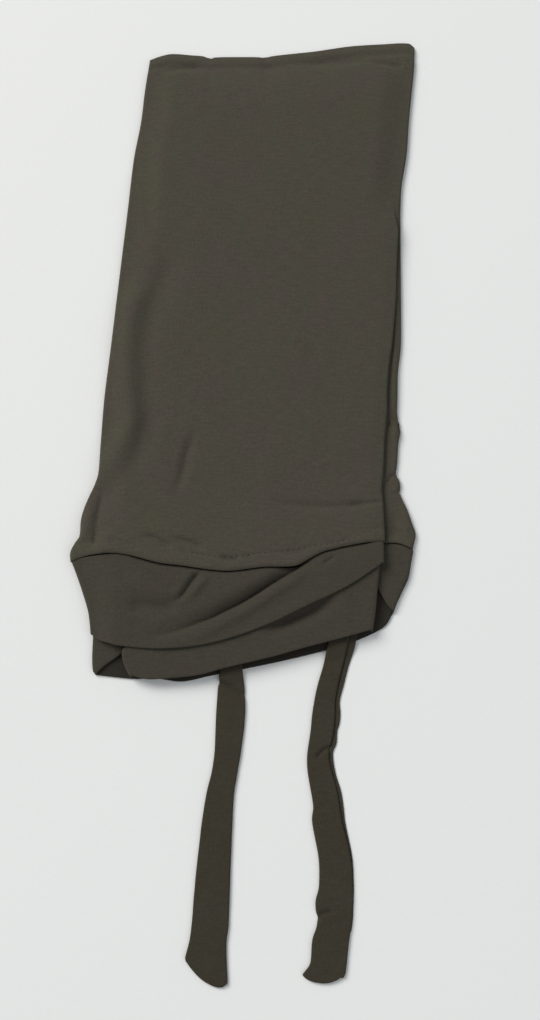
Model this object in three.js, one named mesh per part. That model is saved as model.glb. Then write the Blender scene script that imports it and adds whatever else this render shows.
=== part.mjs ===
// A criss-cross underscarf cap of dark olive viscose jersey, lying flat with its front up.
// Millimetres. +Y runs from the ties to the closed end of the crown, +X to the right, +Z is up,
// and the surface that the cap lies on is z = 0.
// Every piece is a wall of cloth built on a grid of points: each row of the grid is a section
// across the cap, and the rows follow one another along the cap.
import * as THREE from "three";

const { lerp, smoothstep, clamp } = THREE.MathUtils;

// Thickness of the cloth, and the room between its layers.
const CROWN_WALL = 1.0; // one layer of jersey
const BAND_WALL = 1.4; // jersey doubled over
const TIE_WALL = 1.6; // a jersey strip turned and pressed flat
const LAYER_STEP = 2.1; // from the middle of one resting layer to the middle of the next
const GAP = 0.3; // air between two pieces that are sewn or lie together

// Heights of the middle of each layer.
const FOLD_RADIUS = LAYER_STEP / 2;
const EDGE_RADIUS = 1.25; // the soft roll at the crown's plain edges
const EDGE_RISE = 22; // width over which the front sheet climbs from that roll
const CROWN_TOP = 6.8; // front sheet above the pleat
const HEM_LIFT = 1.7; // what the front sheet gains towards the hem, where two bands meet it
const FRONT_PUFF = 1.3; // how far the front sheet swells in its middle
const OVER_LIFT = 0.3; // what the over band gains above the under band

// The side pleat: it is deepest at the hem and runs out up the crown.
const PLEAT_DEPTH = 7;
const PLEAT_LEAST = 3.2;
const PLEAT_END = { full: 155, none: 198 };

// The crown's left edge, seen from above.
const LEFT_EDGE = [
  { y: -60, x: -114.4 },
  { y: -52, x: -115.1 },
  { y: -47, x: -112.5 },
  { y: -44, x: -109.7 },
  { y: -33, x: -109.1 },
  { y: -25, x: -107.2 },
  { y: -18, x: -104.4 },
  { y: -10, x: -100.8 },
  { y: -3, x: -98.8 },
  { y: 15, x: -98.1 },
  { y: 50, x: -96.5 },
  { y: 86, x: -93.2 },
  { y: 138, x: -88.9 },
  { y: 189, x: -84.5 },
  { y: 227, x: -81.4 },
  { y: 255, x: -77.2 },
  { y: 280, x: -75 },
  { y: 304, x: -72.1 },
];

// The crown's right side: its outer edge, and the front sheet's fold that lies inside it.
const RIGHT_EDGE = [
  { y: -52, outer: 104.2, fold: 86.3 },
  { y: -47, outer: 105.4, fold: 86.3 },
  { y: -41, outer: 106.5, fold: 86.2 },
  { y: -34, outer: 104.4, fold: 86 },
  { y: -26, outer: 101.4, fold: 85.7 },
  { y: -20, outer: 98.4, fold: 85.3 },
  { y: -15, outer: 96.3, fold: 84.9 },
  { y: -10, outer: 97.4, fold: 85.5 },
  { y: -3, outer: 94.7, fold: 86.2 },
  { y: 6, outer: 95.7, fold: 86.9 },
  { y: 20, outer: 96.9, fold: 87.6 },
  { y: 28, outer: 98.4, fold: 88.4 },
  { y: 37, outer: 96.6, fold: 89.4 },
  { y: 54, outer: 97.1, fold: 90 },
  { y: 70, outer: 97.8, fold: 91.4 },
  { y: 87, outer: 100, fold: 94 },
  { y: 118, outer: 100.9, fold: 97 },
  { y: 142, outer: 101.3, fold: 98.1 },
  { y: 174, outer: 101.9, fold: 100.4 },
  { y: 184, outer: 102, fold: 101.9 },
  { y: 205, outer: 103.4, fold: 103.4 },
  { y: 229, outer: 107.4, fold: 107.4 },
  { y: 255, outer: 109.7, fold: 109.7 },
  { y: 297, outer: 114.2, fold: 114.2 },
  { y: 313, outer: 115.1, fold: 115.1 },
];

// The seam between crown and bands, on the front and on the back, and the crown's closed end.
const FRONT_SEAM = [
  { x: -115, y: -60 },
  { x: -105, y: -56.4 },
  { x: -89, y: -55 },
  { x: -77, y: -56.4 },
  { x: -58, y: -61.5 },
  { x: -45, y: -63.2 },
  { x: -15, y: -66.8 },
  { x: 9, y: -64.2 },
  { x: 29, y: -63.4 },
  { x: 40, y: -57.6 },
  { x: 48, y: -53.8 },
  { x: 71, y: -48.6 },
  { x: 85, y: -47.2 },
  { x: 96, y: -47.6 },
  { x: 105, y: -51.5 },
];
const BACK_SEAM = [
  { x: -115, y: -59.6 },
  { x: 105, y: -51.3 },
];
const SEAM_TURN = { back: 1.4, front: 2.1 }; // heights between which one seam becomes the other
// Where the sheets on both sides of the seam have their points, so that they meet exactly.
const FRONT_KNOTS = [
  76, 66, 56, 48, 42, 36, 28, 14, 0, -15, -30, -45, -58, -70, -82, -91, -97, -102, -106, -109,
];
const PANEL_KNOTS = [100, 95, 88];
const END_LINE = [
  { x: -72, y: 304 },
  { x: -62, y: 308 },
  { x: -55, y: 309.4 },
  { x: -40, y: 308 },
  { x: -28, y: 305.5 },
  { x: 8, y: 306 },
  { x: 34, y: 310 },
  { x: 51, y: 312.9 },
  { x: 70, y: 315.4 },
  { x: 92, y: 316.8 },
  { x: 111, y: 317.4 },
  { x: 115, y: 314 },
];

// The front sheet sinks to the sewn end: how far from the end, and how high its middle is there.
const END_PROFILE = [
  { fromEnd: 0, height: 1.7 },
  { fromEnd: 4, height: 2.5 },
  { fromEnd: 8, height: 2.1 },
  { fromEnd: 12, height: 3.3 },
  { fromEnd: 18, height: 4.6 },
  { fromEnd: 27, height: 5.9 },
  { fromEnd: 40, height: CROWN_TOP },
];
const SEWN_WIDTH = 8; // both sheets are sewn together over this width at the end

// The front bands: the over band crosses the under band from the left side to the right.
const OVER_LEFT = [
  { y: -59, x: -113.6 },
  { y: -68, x: -110.2 },
  { y: -80, x: -106 },
  { y: -91, x: -102.6 },
  { y: -102, x: -100.7 },
  { y: -106, x: -100.3 },
];
const OVER_LOWER = [
  { x: -100.3, y: -105 },
  { x: -95.5, y: -109.2 },
  { x: -89.7, y: -111.4 },
  { x: -82.4, y: -113.6 },
  { x: -57, y: -116 },
  { x: -32, y: -114.6 },
  { x: -8, y: -108.9 },
  { x: 15, y: -100.1 },
  { x: 39, y: -88.4 },
  { x: 61, y: -77.6 },
  { x: 79, y: -65.3 },
  { x: 85.5, y: -60 },
];
const OVER_RIGHT = 85.4; // where the over band turns down round the under band
const OVER_CORNER = 1.3; // radius of its turned-down edges
const OVER_HOOK = 3.4; // how far its right end reaches down
const OVER_FOOT = 0.5; // height at which its left edge stops above the floor
const UNDER_LEFT = [
  { y: -60, x: -82 },
  { y: -105, x: -76.5 },
  { y: -113, x: -75.5 },
  { y: -118, x: -79.8 },
  { y: -124, x: -79.2 },
  { y: -128, x: -77.4 },
  { y: -131.5, x: -75 },
];
const UNDER_RIGHT = [
  { y: -47, x: 83.6 },
  { y: -63, x: 82.5 },
  { y: -79, x: 80.8 },
  { y: -94, x: 79.1 },
  { y: -103, x: 77.5 },
];
const UNDER_LOWER = [
  { x: -79, y: -130.5 },
  { x: -74, y: -132 },
  { x: -65, y: -134.5 },
  { x: -57, y: -134.5 },
  { x: -32, y: -132 },
  { x: -16, y: -127.7 },
  { x: 15, y: -120.2 },
  { x: 33, y: -115.1 },
  { x: 61, y: -107.7 },
  { x: 77.5, y: -103 },
];

// The nape band: it lies lowest, and its two ends turn up over the sides.
const NAPE_LEFT = [
  { y: -60, x: -111.5 },
  { y: -68, x: -108.5 },
  { y: -80, x: -104.3 },
  { y: -91, x: -100.9 },
  { y: -102, x: -99 },
  { y: -121, x: -99 },
  { y: -129, x: -98.3 },
  { y: -131, x: -97 },
];
const NAPE_RIGHT = [
  { y: -51, x: 104.7 },
  { y: -59, x: 103.1 },
  { y: -69, x: 101.1 },
  { y: -76, x: 97.8 },
  { y: -84, x: 94 },
  { y: -90, x: 91.5 },
];
const NAPE_LOWER = [
  { x: -97, y: -131 },
  { x: -72, y: -133.5 },
  { x: -60, y: -133 },
  { x: -43, y: -135.1 },
  { x: -25, y: -131.5 },
  { x: -3.5, y: -127.1 },
  { x: 19, y: -122.4 },
  { x: 47.5, y: -115.4 },
  { x: 68, y: -108.9 },
  { x: 81.5, y: -102.8 },
  { x: 87, y: -98.5 },
  { x: 91, y: -91 },
];
const LEFT_FREE_EDGE = [
  { x: -97, y: -131 },
  { x: -91.4, y: -125.6 },
  { x: -84.3, y: -120.5 },
  { x: -75.8, y: -113.6 },
  { x: -60, y: -101 },
];
const RIGHT_FREE_EDGE = [
  { x: 79, y: -72.6 },
  { x: 82.4, y: -77.9 },
  { x: 87.1, y: -86 },
  { x: 91, y: -90.5 },
];
const LEFT_INNER_FOLD = -60; // where the hidden pleat turns, on the left side
const RIGHT_INNER_FOLD = 79; // and on the right side
const UNDER_RETURN = 70; // where the under band's folded right end stops at its free edge

// The one long fold across the over band: a groove, with a ridge on its lower side.
const GROOVE_LINE = [
  { x: -62, y: -107.5 },
  { x: -43.6, y: -103.3 },
  { x: -31, y: -98 },
  { x: -17.4, y: -89.6 },
  { x: 8.4, y: -75.4 },
  { x: 20.4, y: -68.9 },
  { x: 38, y: -61.5 },
];
const GROOVE = { slant: 0.87, depth: 0.4, width: 3.2, ridge: 1, ridgeAt: 9, ridgeWidth: 6 };

// The two ties, from inside the nape to their free ends.
const LEFT_TIE = [
  { y: -110, left: -17.6, right: -5.2 },
  { y: -127, left: -18.4, right: -4.7 },
  { y: -144, left: -19.9, right: -3 },
  { y: -161, left: -20.8, right: -3.1 },
  { y: -179, left: -21.3, right: -5.3 },
  { y: -192, left: -23.1, right: -7.4 },
  { y: -205, left: -26.1, right: -9.4 },
  { y: -223, left: -28.8, right: -10.3 },
  { y: -261, left: -32.6, right: -11.6 },
  { y: -281, left: -34, right: -12.1 },
  { y: -292, left: -35.1, right: -13.2 },
  { y: -302, left: -37.6, right: -13.6 },
];
const LEFT_TIE_END = [
  { across: 0, y: -303 },
  { across: 0.1, y: -307.5 },
  { across: 0.3, y: -312 },
  { across: 0.52, y: -315.4 },
  { across: 0.75, y: -317.3 },
  { across: 0.92, y: -317.3 },
  { across: 1, y: -314 },
];
const RIGHT_TIE = [
  { y: -98, left: 52.6, right: 69.6, fold: 64 },
  { y: -115, left: 48.7, right: 66, fold: 60.2 },
  { y: -126, left: 46.3, right: 62.2, fold: 57.5 },
  { y: -139, left: 42.5, right: 58.6, fold: 54.9 },
  { y: -154, left: 39.5, right: 56.6, fold: 53.2 },
  { y: -168, left: 37.9, right: 55, fold: 52.2 },
  { y: -181, left: 36, right: 52.1, fold: 49.5 },
  { y: -192, left: 36.3, right: 53.7, fold: 50.7 },
  { y: -212, left: 39, right: 57.8, fold: 54.7 },
  { y: -222, left: 38.6, right: 58.6, fold: 56.8 },
  { y: -243, left: 41.9, right: 62.1, fold: 60.9 },
  { y: -259, left: 41.9, right: 63.1, fold: 62 },
  { y: -269, left: 40.4, right: 62.8, fold: 61.8 },
  { y: -281, left: 40.6, right: 62.1, fold: 61.1 },
  { y: -289, left: 38.4, right: 60.9, fold: 59.9 },
  { y: -302, left: 36.7, right: 58.6, fold: 57.6 },
  { y: -309, left: 33.6, right: 57.2, fold: 56.2 },
];
const RIGHT_TIE_END = [
  { across: 0, y: -311.3 },
  { across: 0.1, y: -313.4 },
  { across: 0.3, y: -315 },
  { across: 0.62, y: -315.7 },
  { across: 0.88, y: -313.4 },
  { across: 1, y: -310.9 },
];
const TIE_RAMP = 9; // length over which a tie comes down off the nape band
const TIE_STEP = 0.8; // height of the lower layer that shows beside the right tie's fold

// Finish of the cloth, read off the photograph: dark olive, dull.
const JERSEY = { crown: 0x4a463a, band: 0x46433a, tie: 0x3b382d };

// A smooth function through the rows of a table, from one named column to another.
function through(rows, from, to) {
  const sorted = [...rows].sort((a, b) => a[from] - b[from]);
  const at = sorted.map((row) => row[from]);
  const value = sorted.map((row) => row[to]);
  const last = at.length - 1;
  const slope = at.map((_, i) => {
    const before = Math.max(i - 1, 0);
    const after = Math.min(i + 1, last);
    return (value[after] - value[before]) / (at[after] - at[before]);
  });
  return (where) => {
    const here = clamp(where, at[0], at[last]);
    let i = 0;
    while (i < last - 1 && here > at[i + 1]) i += 1;
    const span = at[i + 1] - at[i];
    const t = (here - at[i]) / span;
    const rest = 1 - t;
    return (
      value[i] * rest * rest * (1 + 2 * t) +
      slope[i] * span * t * rest * rest +
      value[i + 1] * t * t * (3 - 2 * t) -
      slope[i + 1] * span * t * t * rest
    );
  };
}

const frontSeam = through(FRONT_SEAM, "x", "y");
const backSeam = through(BACK_SEAM, "x", "y");
const endY = through(END_LINE, "x", "y");

// The seam's y at a point of a section: the back seam on the floor, the front seam above it.
function seamY(x, z) {
  return lerp(backSeam(x), frontSeam(x), smoothstep(z, SEAM_TURN.back, SEAM_TURN.front));
}
const bell = (distance, width) => Math.exp(-((distance / width) ** 2));

// Evenly spaced values from one number to another, both ends included.
function steps(from, to, count) {
  return Array.from({ length: count + 1 }, (_, i) => lerp(from, to, i / count));
}

// Points on an arc in a section: angles in degrees, 0 along +X, turning towards +Z.
function arc(x, z, radius, from, to, count) {
  return steps(from, to, count).map((degrees) => {
    const angle = THREE.MathUtils.degToRad(degrees);
    return { x: x + radius * Math.cos(angle), z: z + radius * Math.sin(angle) };
  });
}

// Points at one height from one x to another, both ends left out.
function level(fromX, toX, z, count) {
  return steps(fromX, toX, count)
    .slice(1, -1)
    .map((x) => ({ x, z }));
}

// The same run of a section with its points moved to even distances along it.
function evened(run) {
  const reach = [0];
  run.slice(1).forEach((point, i) => {
    reach.push(reach[i] + Math.hypot(point.x - run[i].x, point.z - run[i].z));
  });
  return steps(0, reach.at(-1), run.length - 1).map((want) => {
    const i = Math.max(reach.findIndex((have) => have >= want - 1e-9) - 1, 0);
    const part = (want - reach[i]) / (reach[i + 1] - reach[i]);
    return { x: lerp(run[i].x, run[i + 1].x, part), z: lerp(run[i].z, run[i + 1].z, part) };
  });
}

// A run of knots from `start` to `end` at the seam, stretched to fill `from` to `to` further along.
function stretched(knots, start, end, from, to) {
  const inside = knots.filter((x) => x < start - 0.5 && x > end + 0.5);
  return [start, ...inside, end].map((x) => lerp(from, to, (x - start) / (end - start)));
}

// The two faces of a wall whose middle runs through the points of one section. `placeY` gives
// the y of a point of the section from its x and z.
function faces(section, wall, placeY, ring) {
  const count = section.length;
  const outer = [];
  const inner = [];
  const put = (x, z) => new THREE.Vector3(x, placeY(x, z), z);
  section.forEach((point, i) => {
    const before = section[ring ? (i + count - 1) % count : Math.max(i - 1, 0)];
    const after = section[ring ? (i + 1) % count : Math.min(i + 1, count - 1)];
    const run = Math.hypot(after.x - before.x, after.z - before.z);
    const nx = ((after.z - before.z) / run) * (wall / 2);
    const nz = ((before.x - after.x) / run) * (wall / 2);
    outer.push(put(point.x + nx, point.z + nz));
    inner.push(put(point.x - nx, point.z - nz));
  });
  return { outer, inner };
}

// One closed body from corner points and triangles, turned so that its faces point outwards.
function body(points, triangles) {
  let volume = 0;
  triangles.forEach(([a, b, c]) => {
    volume += points[a].dot(new THREE.Vector3().crossVectors(points[b], points[c]));
  });
  const index = triangles.flatMap(([a, b, c]) => (volume > 0 ? [a, b, c] : [a, c, b]));
  const geometry = new THREE.BufferGeometry().setFromPoints(points);
  geometry.setIndex(index);
  geometry.computeVertexNormals();
  return geometry;
}

// Triangles between two rows of points with the same count. A ring closes on itself.
function stitch(first, second, count) {
  const triangles = [];
  for (let i = 0; i < count; i += 1) {
    const next = (i + 1) % count;
    triangles.push([first + i, first + next, second + next]);
    triangles.push([first + i, second + next, second + i]);
  }
  return triangles;
}

// A strip of cloth: rows of { outer, inner } faces, closed at its sides and at both ends.
function strip(rows) {
  const across = rows[0].outer.length;
  const ring = 2 * across;
  const points = rows.flatMap(({ outer, inner }) => [...outer, ...[...inner].reverse()]);
  const triangles = [];
  for (let row = 0; row < rows.length - 1; row += 1) {
    triangles.push(...stitch(row * ring, (row + 1) * ring, ring));
  }
  const cap = (first, turned) => {
    for (let i = 0; i < across - 1; i += 1) {
      const [a, b] = [first + i, first + i + 1];
      const [c, d] = [first + ring - 2 - i, first + ring - 1 - i];
      const pair = turned ? [[a, c, b], [a, d, c]] : [[a, b, c], [a, c, d]];
      triangles.push(...pair);
    }
  };
  cap(0, true);
  cap((rows.length - 1) * ring, false);
  return body(points, triangles);
}

// A pocket: rings of { outer, inner } faces, open at the first row. The outer skin runs on past
// the inner one, which is closed first, so the far end is solid cloth.
function pocket(rows, innerRows) {
  const across = rows[0].outer.length;
  const outer = rows.flatMap((row) => row.outer);
  const inner = rows.slice(0, innerRows).flatMap((row) => row.inner);
  const points = [...outer, ...inner];
  const base = outer.length;
  const triangles = [];
  for (let row = 0; row < rows.length - 1; row += 1) {
    triangles.push(...stitch(row * across, (row + 1) * across, across));
  }
  for (let row = 0; row < innerRows - 1; row += 1) {
    const skin = stitch(base + row * across, base + (row + 1) * across, across);
    triangles.push(...skin.map(([a, b, c]) => [a, c, b]));
  }
  triangles.push(...stitch(base, 0, across));
  const fill = (ring, first, turned) => {
    const outline = ring.map((point) => new THREE.Vector2(point.x, point.z));
    const ears = THREE.ShapeUtils.triangulateShape(outline, []);
    triangles.push(...ears.map(([a, b, c]) => (turned ? [a, c, b] : [a, b, c]).map((i) => i + first)));
  };
  fill(rows.at(-1).outer, (rows.length - 1) * across, false);
  fill(rows[innerRows - 1].inner, base + (innerRows - 1) * across, true);
  return body(points, triangles);
}

// The crown: one tube of jersey, open at the hem, with a pleat folded into its right side.
function crown() {
  const leftEdge = through(LEFT_EDGE, "y", "x");
  const rightEdge = through(RIGHT_EDGE, "y", "outer");
  const foldEdge = through(RIGHT_EDGE, "y", "fold");
  const endHeight = through(END_PROFILE, "fromEnd", "height");
  const floorZ = CROWN_WALL / 2;
  const [hem, end] = [-56, 311];

  // The places that shape one section, `along` of the way from the hem to the closed end.
  function frame(along) {
    const leftY = lerp(-58, 304, along);
    const rightY = lerp(-51, 316, along);
    const fromEnd = (1 - along) * (end - hem);
    const left = leftEdge(leftY) + CROWN_WALL / 2;
    const right = rightEdge(rightY) - CROWN_WALL / 2;
    const fold = foldEdge(rightY) - CROWN_WALL / 2;
    const top = Math.min(CROWN_TOP, endHeight(fromEnd)) + HEM_LIFT * smoothstep(-rightY, -5, 45);
    const roll = Math.min(EDGE_RADIUS, (top - floorZ) / 2);
    const low = floorZ + 2 * roll;
    const foldRadius = Math.max((top - floorZ - 2 * LAYER_STEP) / 2, 0.3);
    const pleat = 1 - smoothstep(rightY, PLEAT_END.full, PLEAT_END.none);
    const puff = FRONT_PUFF * (1 - 0.6 * smoothstep(leftY, 0, 120)) * smoothstep(fromEnd, 20, 90);

    // Height of the front sheet at x: a soft roll at each plain edge, and a swell between them.
    const front = (x) => {
      const climbLeft = smoothstep(x, left + roll, left + roll + EDGE_RISE);
      const climbRight = lerp(smoothstep(right - roll - x, 0, EDGE_RISE), 1, pleat);
      const u = clamp((x - left) / (fold - left), 0, 1);
      return low + (top - low) * climbLeft * climbRight + puff * 4 * u * (1 - u) * climbLeft;
    };
    const start = lerp(right - roll - 8, fold - foldRadius, pleat);
    const inner = fold - lerp(PLEAT_DEPTH, PLEAT_LEAST, smoothstep(rightY, 40, 150));
    return { left, right, fold, top, roll, foldRadius, pleat, front, start, inner };
  }
  const seam = frame(0);

  // The visible side panel's points, between its outer fold and the pleat's hidden one.
  function panelRun(right, inner) {
    const [start, finish] = [seam.right - FOLD_RADIUS, seam.inner + FOLD_RADIUS];
    const [from, to] = [right - FOLD_RADIUS, inner + FOLD_RADIUS];
    return stretched(PANEL_KNOTS, start, finish, from, to).slice(1, -1);
  }

  function section(along) {
    const { left, right, fold, top, roll, foldRadius, pleat, front, start, inner } = frame(along);
    const back = steps(left + roll, right - roll, 4).map((x) => ({ x, z: floorZ }));
    const pleated = [
      ...arc(right - FOLD_RADIUS, floorZ + FOLD_RADIUS, FOLD_RADIUS, -60, 90, 4),
      ...panelRun(right, inner).map((x) => ({ x, z: floorZ + LAYER_STEP })),
      ...arc(inner + FOLD_RADIUS, floorZ + 1.5 * LAYER_STEP, FOLD_RADIUS, 270, 90, 4),
      ...level(inner + FOLD_RADIUS, fold - foldRadius, floorZ + 2 * LAYER_STEP, 2),
      ...arc(fold - foldRadius, top - foldRadius, foldRadius, -90, 90, 4),
    ];
    const plainArc = arc(right - roll, floorZ + roll, roll, -60, 90, 4);
    const plainRun = steps(right - roll, right - roll - 8, pleated.length - plainArc.length);
    const plain = [...plainArc, ...plainRun.slice(1).map((x) => ({ x, z: front(x) }))];
    const blend = pleated.map((point, i) => ({
      x: lerp(plain[i].x, point.x, pleat),
      z: lerp(plain[i].z, point.z, pleat),
    }));
    const side = pleat === 1 ? blend : evened(blend);
    const sheet = stretched(FRONT_KNOTS, seam.start, seam.left + seam.roll, start, left + roll)
      .slice(1, -1)
      .map((x) => ({ x, z: front(x) }));
    const rolled = arc(left + roll, floorZ + roll, roll, 90, 240, 5);
    return [...back, ...side, ...sheet, ...rolled];
  }

  const nearHem = [0, 4, 8, 12, 22, 30, 36, 41, 46, 53, 62, 75, 84, 93, 110];
  const middle = [140, 165, 198, 212, 222, 232, 243, 262, 286];
  const nearEnd = [311, 327, 340, 349, 355, end - hem - SEWN_WIDTH, 363, end - hem];
  const places = [...nearHem, ...middle, ...nearEnd].map((run) => run / (end - hem));
  const rows = places.map((along) => {
    const placeY = (x, z) => lerp(seamY(x, z) + GAP / 2, endY(x), along);
    return faces(section(along), CROWN_WALL, placeY, true);
  });
  return pocket(rows, rows.length - 2);
}

// A band sewn to the crown's hem. `path(along)` is its section, and `lowerY(x, z, along)` is the
// y of its free edge at a point of that section.
function band(path, lowerY, rows) {
  const sections = rows.map((along) => {
    const placeY = (x, z) => lerp(seamY(x, z) - GAP / 2, lowerY(x, z, along), along);
    return faces(path(along), BAND_WALL, placeY, false);
  });
  return strip(sections);
}

// The nape band: the lowest layer, whose ends turn up and in over both sides of the face opening.
function napeBand() {
  const leftEdge = through(NAPE_LEFT, "y", "x");
  const rightEdge = through(NAPE_RIGHT, "y", "x");
  const lowerEdge = through(NAPE_LOWER, "x", "y");
  const leftFree = through(LEFT_FREE_EDGE, "x", "y");
  const rightFree = through(RIGHT_FREE_EDGE, "x", "y");
  const floorZ = BAND_WALL / 2;
  const turned = floorZ + LAYER_STEP;
  const middle = floorZ + FOLD_RADIUS;
  const seamRight = rightEdge(-51) - BAND_WALL / 2 - FOLD_RADIUS;

  function path(along) {
    const left = leftEdge(lerp(-60, -131, along)) + BAND_WALL / 2 + FOLD_RADIUS;
    const right = rightEdge(lerp(-51, -90, along)) - BAND_WALL / 2 - FOLD_RADIUS;
    return [
      ...steps(LEFT_INNER_FOLD, left, 5).map((x) => ({ x, z: turned })),
      ...arc(left, middle, FOLD_RADIUS, 90, 270, 6).slice(1, -1),
      ...steps(left, right, 16).map((x) => ({ x, z: floorZ })),
      ...arc(right, middle, FOLD_RADIUS, -90, 90, 6).slice(1, -1),
      ...stretched(PANEL_KNOTS, seamRight, RIGHT_INNER_FOLD, right, RIGHT_INNER_FOLD).map((x) => ({
        x,
        z: turned,
      })),
    ];
  }
  const lowerY = (x, z) => {
    const turnedEdge = x < 0 ? leftFree(x) : rightFree(x);
    return lerp(lowerEdge(x), turnedEdge, smoothstep(z, BAND_WALL, BAND_WALL + GAP));
  };
  return band(path, lowerY, steps(0, 1, 7));
}

// How high the middle of the under band lies: it dips at the seam and swells with the crown.
function underHeight(x, along) {
  const u = clamp((x + 80) / 162, 0, 1);
  const dip = 0.6 * (1 - smoothstep(along, 0, 0.2));
  return BAND_WALL / 2 + 3 * LAYER_STEP - dip + FRONT_PUFF * 4 * u * (1 - u) * (1 - 0.4 * along);
}

// The under band: the lower of the two front bands, its ends folded under into the side pleats.
function underBand() {
  const leftEdge = through(UNDER_LEFT, "y", "x");
  const rightEdge = through(UNDER_RIGHT, "y", "x");
  const lowerEdge = through(UNDER_LOWER, "x", "y");
  const foldedZ = BAND_WALL / 2 + 2 * LAYER_STEP;

  function frame(along) {
    const leftRadius = (underHeight(-80, along) - foldedZ) / 2;
    const rightRadius = (underHeight(82, along) - foldedZ) / 2;
    const left = leftEdge(lerp(-60, -131.5, along)) + BAND_WALL / 2 + leftRadius;
    const right = rightEdge(lerp(-47, -103, along)) - BAND_WALL / 2 - rightRadius;
    return { left, right, leftRadius, rightRadius };
  }

  function path(along) {
    const { left, right, leftRadius, rightRadius } = frame(along);
    return [
      ...steps(lerp(RIGHT_INNER_FOLD, UNDER_RETURN, along), right, 2).map((x) => ({
        x,
        z: foldedZ,
      })),
      ...arc(right, foldedZ + rightRadius, rightRadius, -90, 90, 6).slice(1, -1),
      ...steps(right, left, 18).map((x) => ({ x, z: underHeight(x, along) })),
      ...arc(left, foldedZ + leftRadius, leftRadius, 90, 270, 6).slice(1, -1),
      ...steps(left, LEFT_INNER_FOLD, 3).map((x) => ({ x, z: foldedZ })),
    ];
  }
  const lowerY = (x, z, along) => {
    const { left, right } = frame(along);
    const folded = x < 0 ? lowerEdge(left) + 0.8 * (x - left) : lowerEdge(right) + right - x;
    return lerp(folded, lowerEdge(x), smoothstep(z, foldedZ, foldedZ + 1.4));
  };
  return band(path, lowerY, steps(0, 1, 9));
}

// The over band: it runs from the left side over the under band, and hooks round its right end.
function overBand() {
  const leftEdge = through(OVER_LEFT, "y", "x");
  const lowerEdge = through(OVER_LOWER, "x", "y");
  const grooveY = through(GROOVE_LINE, "x", "y");
  const right = OVER_RIGHT - BAND_WALL / 2 - OVER_CORNER;
  const restingLeft = 1.5 * BAND_WALL + LAYER_STEP + GAP;

  // The long fold: down in the groove, up on the ridge below it, and gone at both its ends.
  function crease(x, y) {
    const fade = smoothstep(x, -75, -35) * (1 - smoothstep(x, 30, 50));
    const below = (grooveY(x) - y) * GROOVE.slant;
    const groove = GROOVE.depth * bell(below, GROOVE.width);
    const ridge = GROOVE.ridge * bell(below - GROOVE.ridgeAt, GROOVE.ridgeWidth);
    return fade * (ridge - groove);
  }

  function frame(along) {
    const left = leftEdge(lerp(-59, -105, along)) + BAND_WALL / 2 + OVER_CORNER;
    const height = (x) => {
      const y = lerp(frontSeam(x), lowerEdge(x), along);
      const underAlong = along * clamp((frontSeam(x) - lowerEdge(x)) / 68, 0.2, 1);
      const rest = underHeight(x, underAlong) + BAND_WALL + GAP;
      const climb = smoothstep(x, left, -84);
      const lift = OVER_LIFT * smoothstep(along, 0, 0.25);
      return lerp(restingLeft, rest + lift, climb) + crease(x, y) * smoothstep(along, 0, 0.15);
    };
    return { left, height };
  }
  const seam = frame(0);

  function path(along) {
    const { left, height } = frame(along);
    const rightTop = height(right);
    const leftTop = height(left);
    return [
      { x: right + OVER_CORNER, z: rightTop - OVER_HOOK },
      ...arc(right, rightTop - OVER_CORNER, OVER_CORNER, 0, 90, 4),
      ...stretched(FRONT_KNOTS, right, seam.left, right, left)
        .slice(1)
        .map((x) => ({ x, z: height(x) })),
      ...arc(left, leftTop - OVER_CORNER, OVER_CORNER, 90, 180, 4).slice(1),
      { x: left - OVER_CORNER, z: lerp(leftTop - OVER_CORNER, OVER_FOOT, 0.5) },
      { x: left - OVER_CORNER, z: OVER_FOOT },
    ];
  }
  const lowerY = (x) => lowerEdge(x);
  return band(path, lowerY, steps(0, 1, 11));
}

// A tie: a flat strip that lies on the nape band at its sewn end and on the floor beyond it.
// `stepAt` gives the x of a fold beside which only the lower layer shows.
function tie(table, endTable, stepped) {
  const leftEdge = through(table, "y", "left");
  const rightEdge = through(table, "y", "right");
  const foldEdge = stepped ? through(table, "y", "fold") : rightEdge;
  const napeY = through(NAPE_LOWER, "x", "y");
  const tip = through(endTable, "across", "y");
  const start = table[0].y;
  const finish = table.at(-1).y;
  const onNape = BAND_WALL + GAP;

  const places = steps(start, start - 32, 7).concat(steps(start - 32, finish, 15).slice(1));
  const rows = places.map((y) => {
    const left = leftEdge(y);
    const right = rightEdge(y);
    const fold = foldEdge(y);
    const bend = smoothstep(finish + 30 - y, 0, 30);
    const lift = (x) => onNape * smoothstep(y, napeY(x) - 1 - TIE_RAMP, napeY(x) - 1);
    const spread = (toX, count) => steps(left, toX, count);
    const tops = spread(stepped ? fold : right, 5).map((x) => ({ x, height: TIE_WALL }));
    if (stepped) {
      const lowest = lerp(TIE_STEP, TIE_WALL * 0.75, smoothstep(-y, 225, 245));
      tops.push({ x: fold + 0.5 * (right - fold), height: lowest });
      tops.push({ x: right, height: lowest });
    }
    const place = ({ x, height }) => {
      const across = (x - left) / (right - left);
      const skewed = lerp(y, tip(across), bend ** 3);
      return new THREE.Vector3(x, skewed, lift(x) + height);
    };
    return {
      outer: tops.map(place),
      inner: tops.map(({ x }) => place({ x, height: 0 })),
    };
  });
  return strip(rows);
}

function piece(name, geometry, color) {
  const material = new THREE.MeshStandardMaterial({ color, roughness: 0.95, metalness: 0 });
  const mesh = new THREE.Mesh(geometry, material);
  mesh.name = name;
  return mesh;
}

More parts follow.
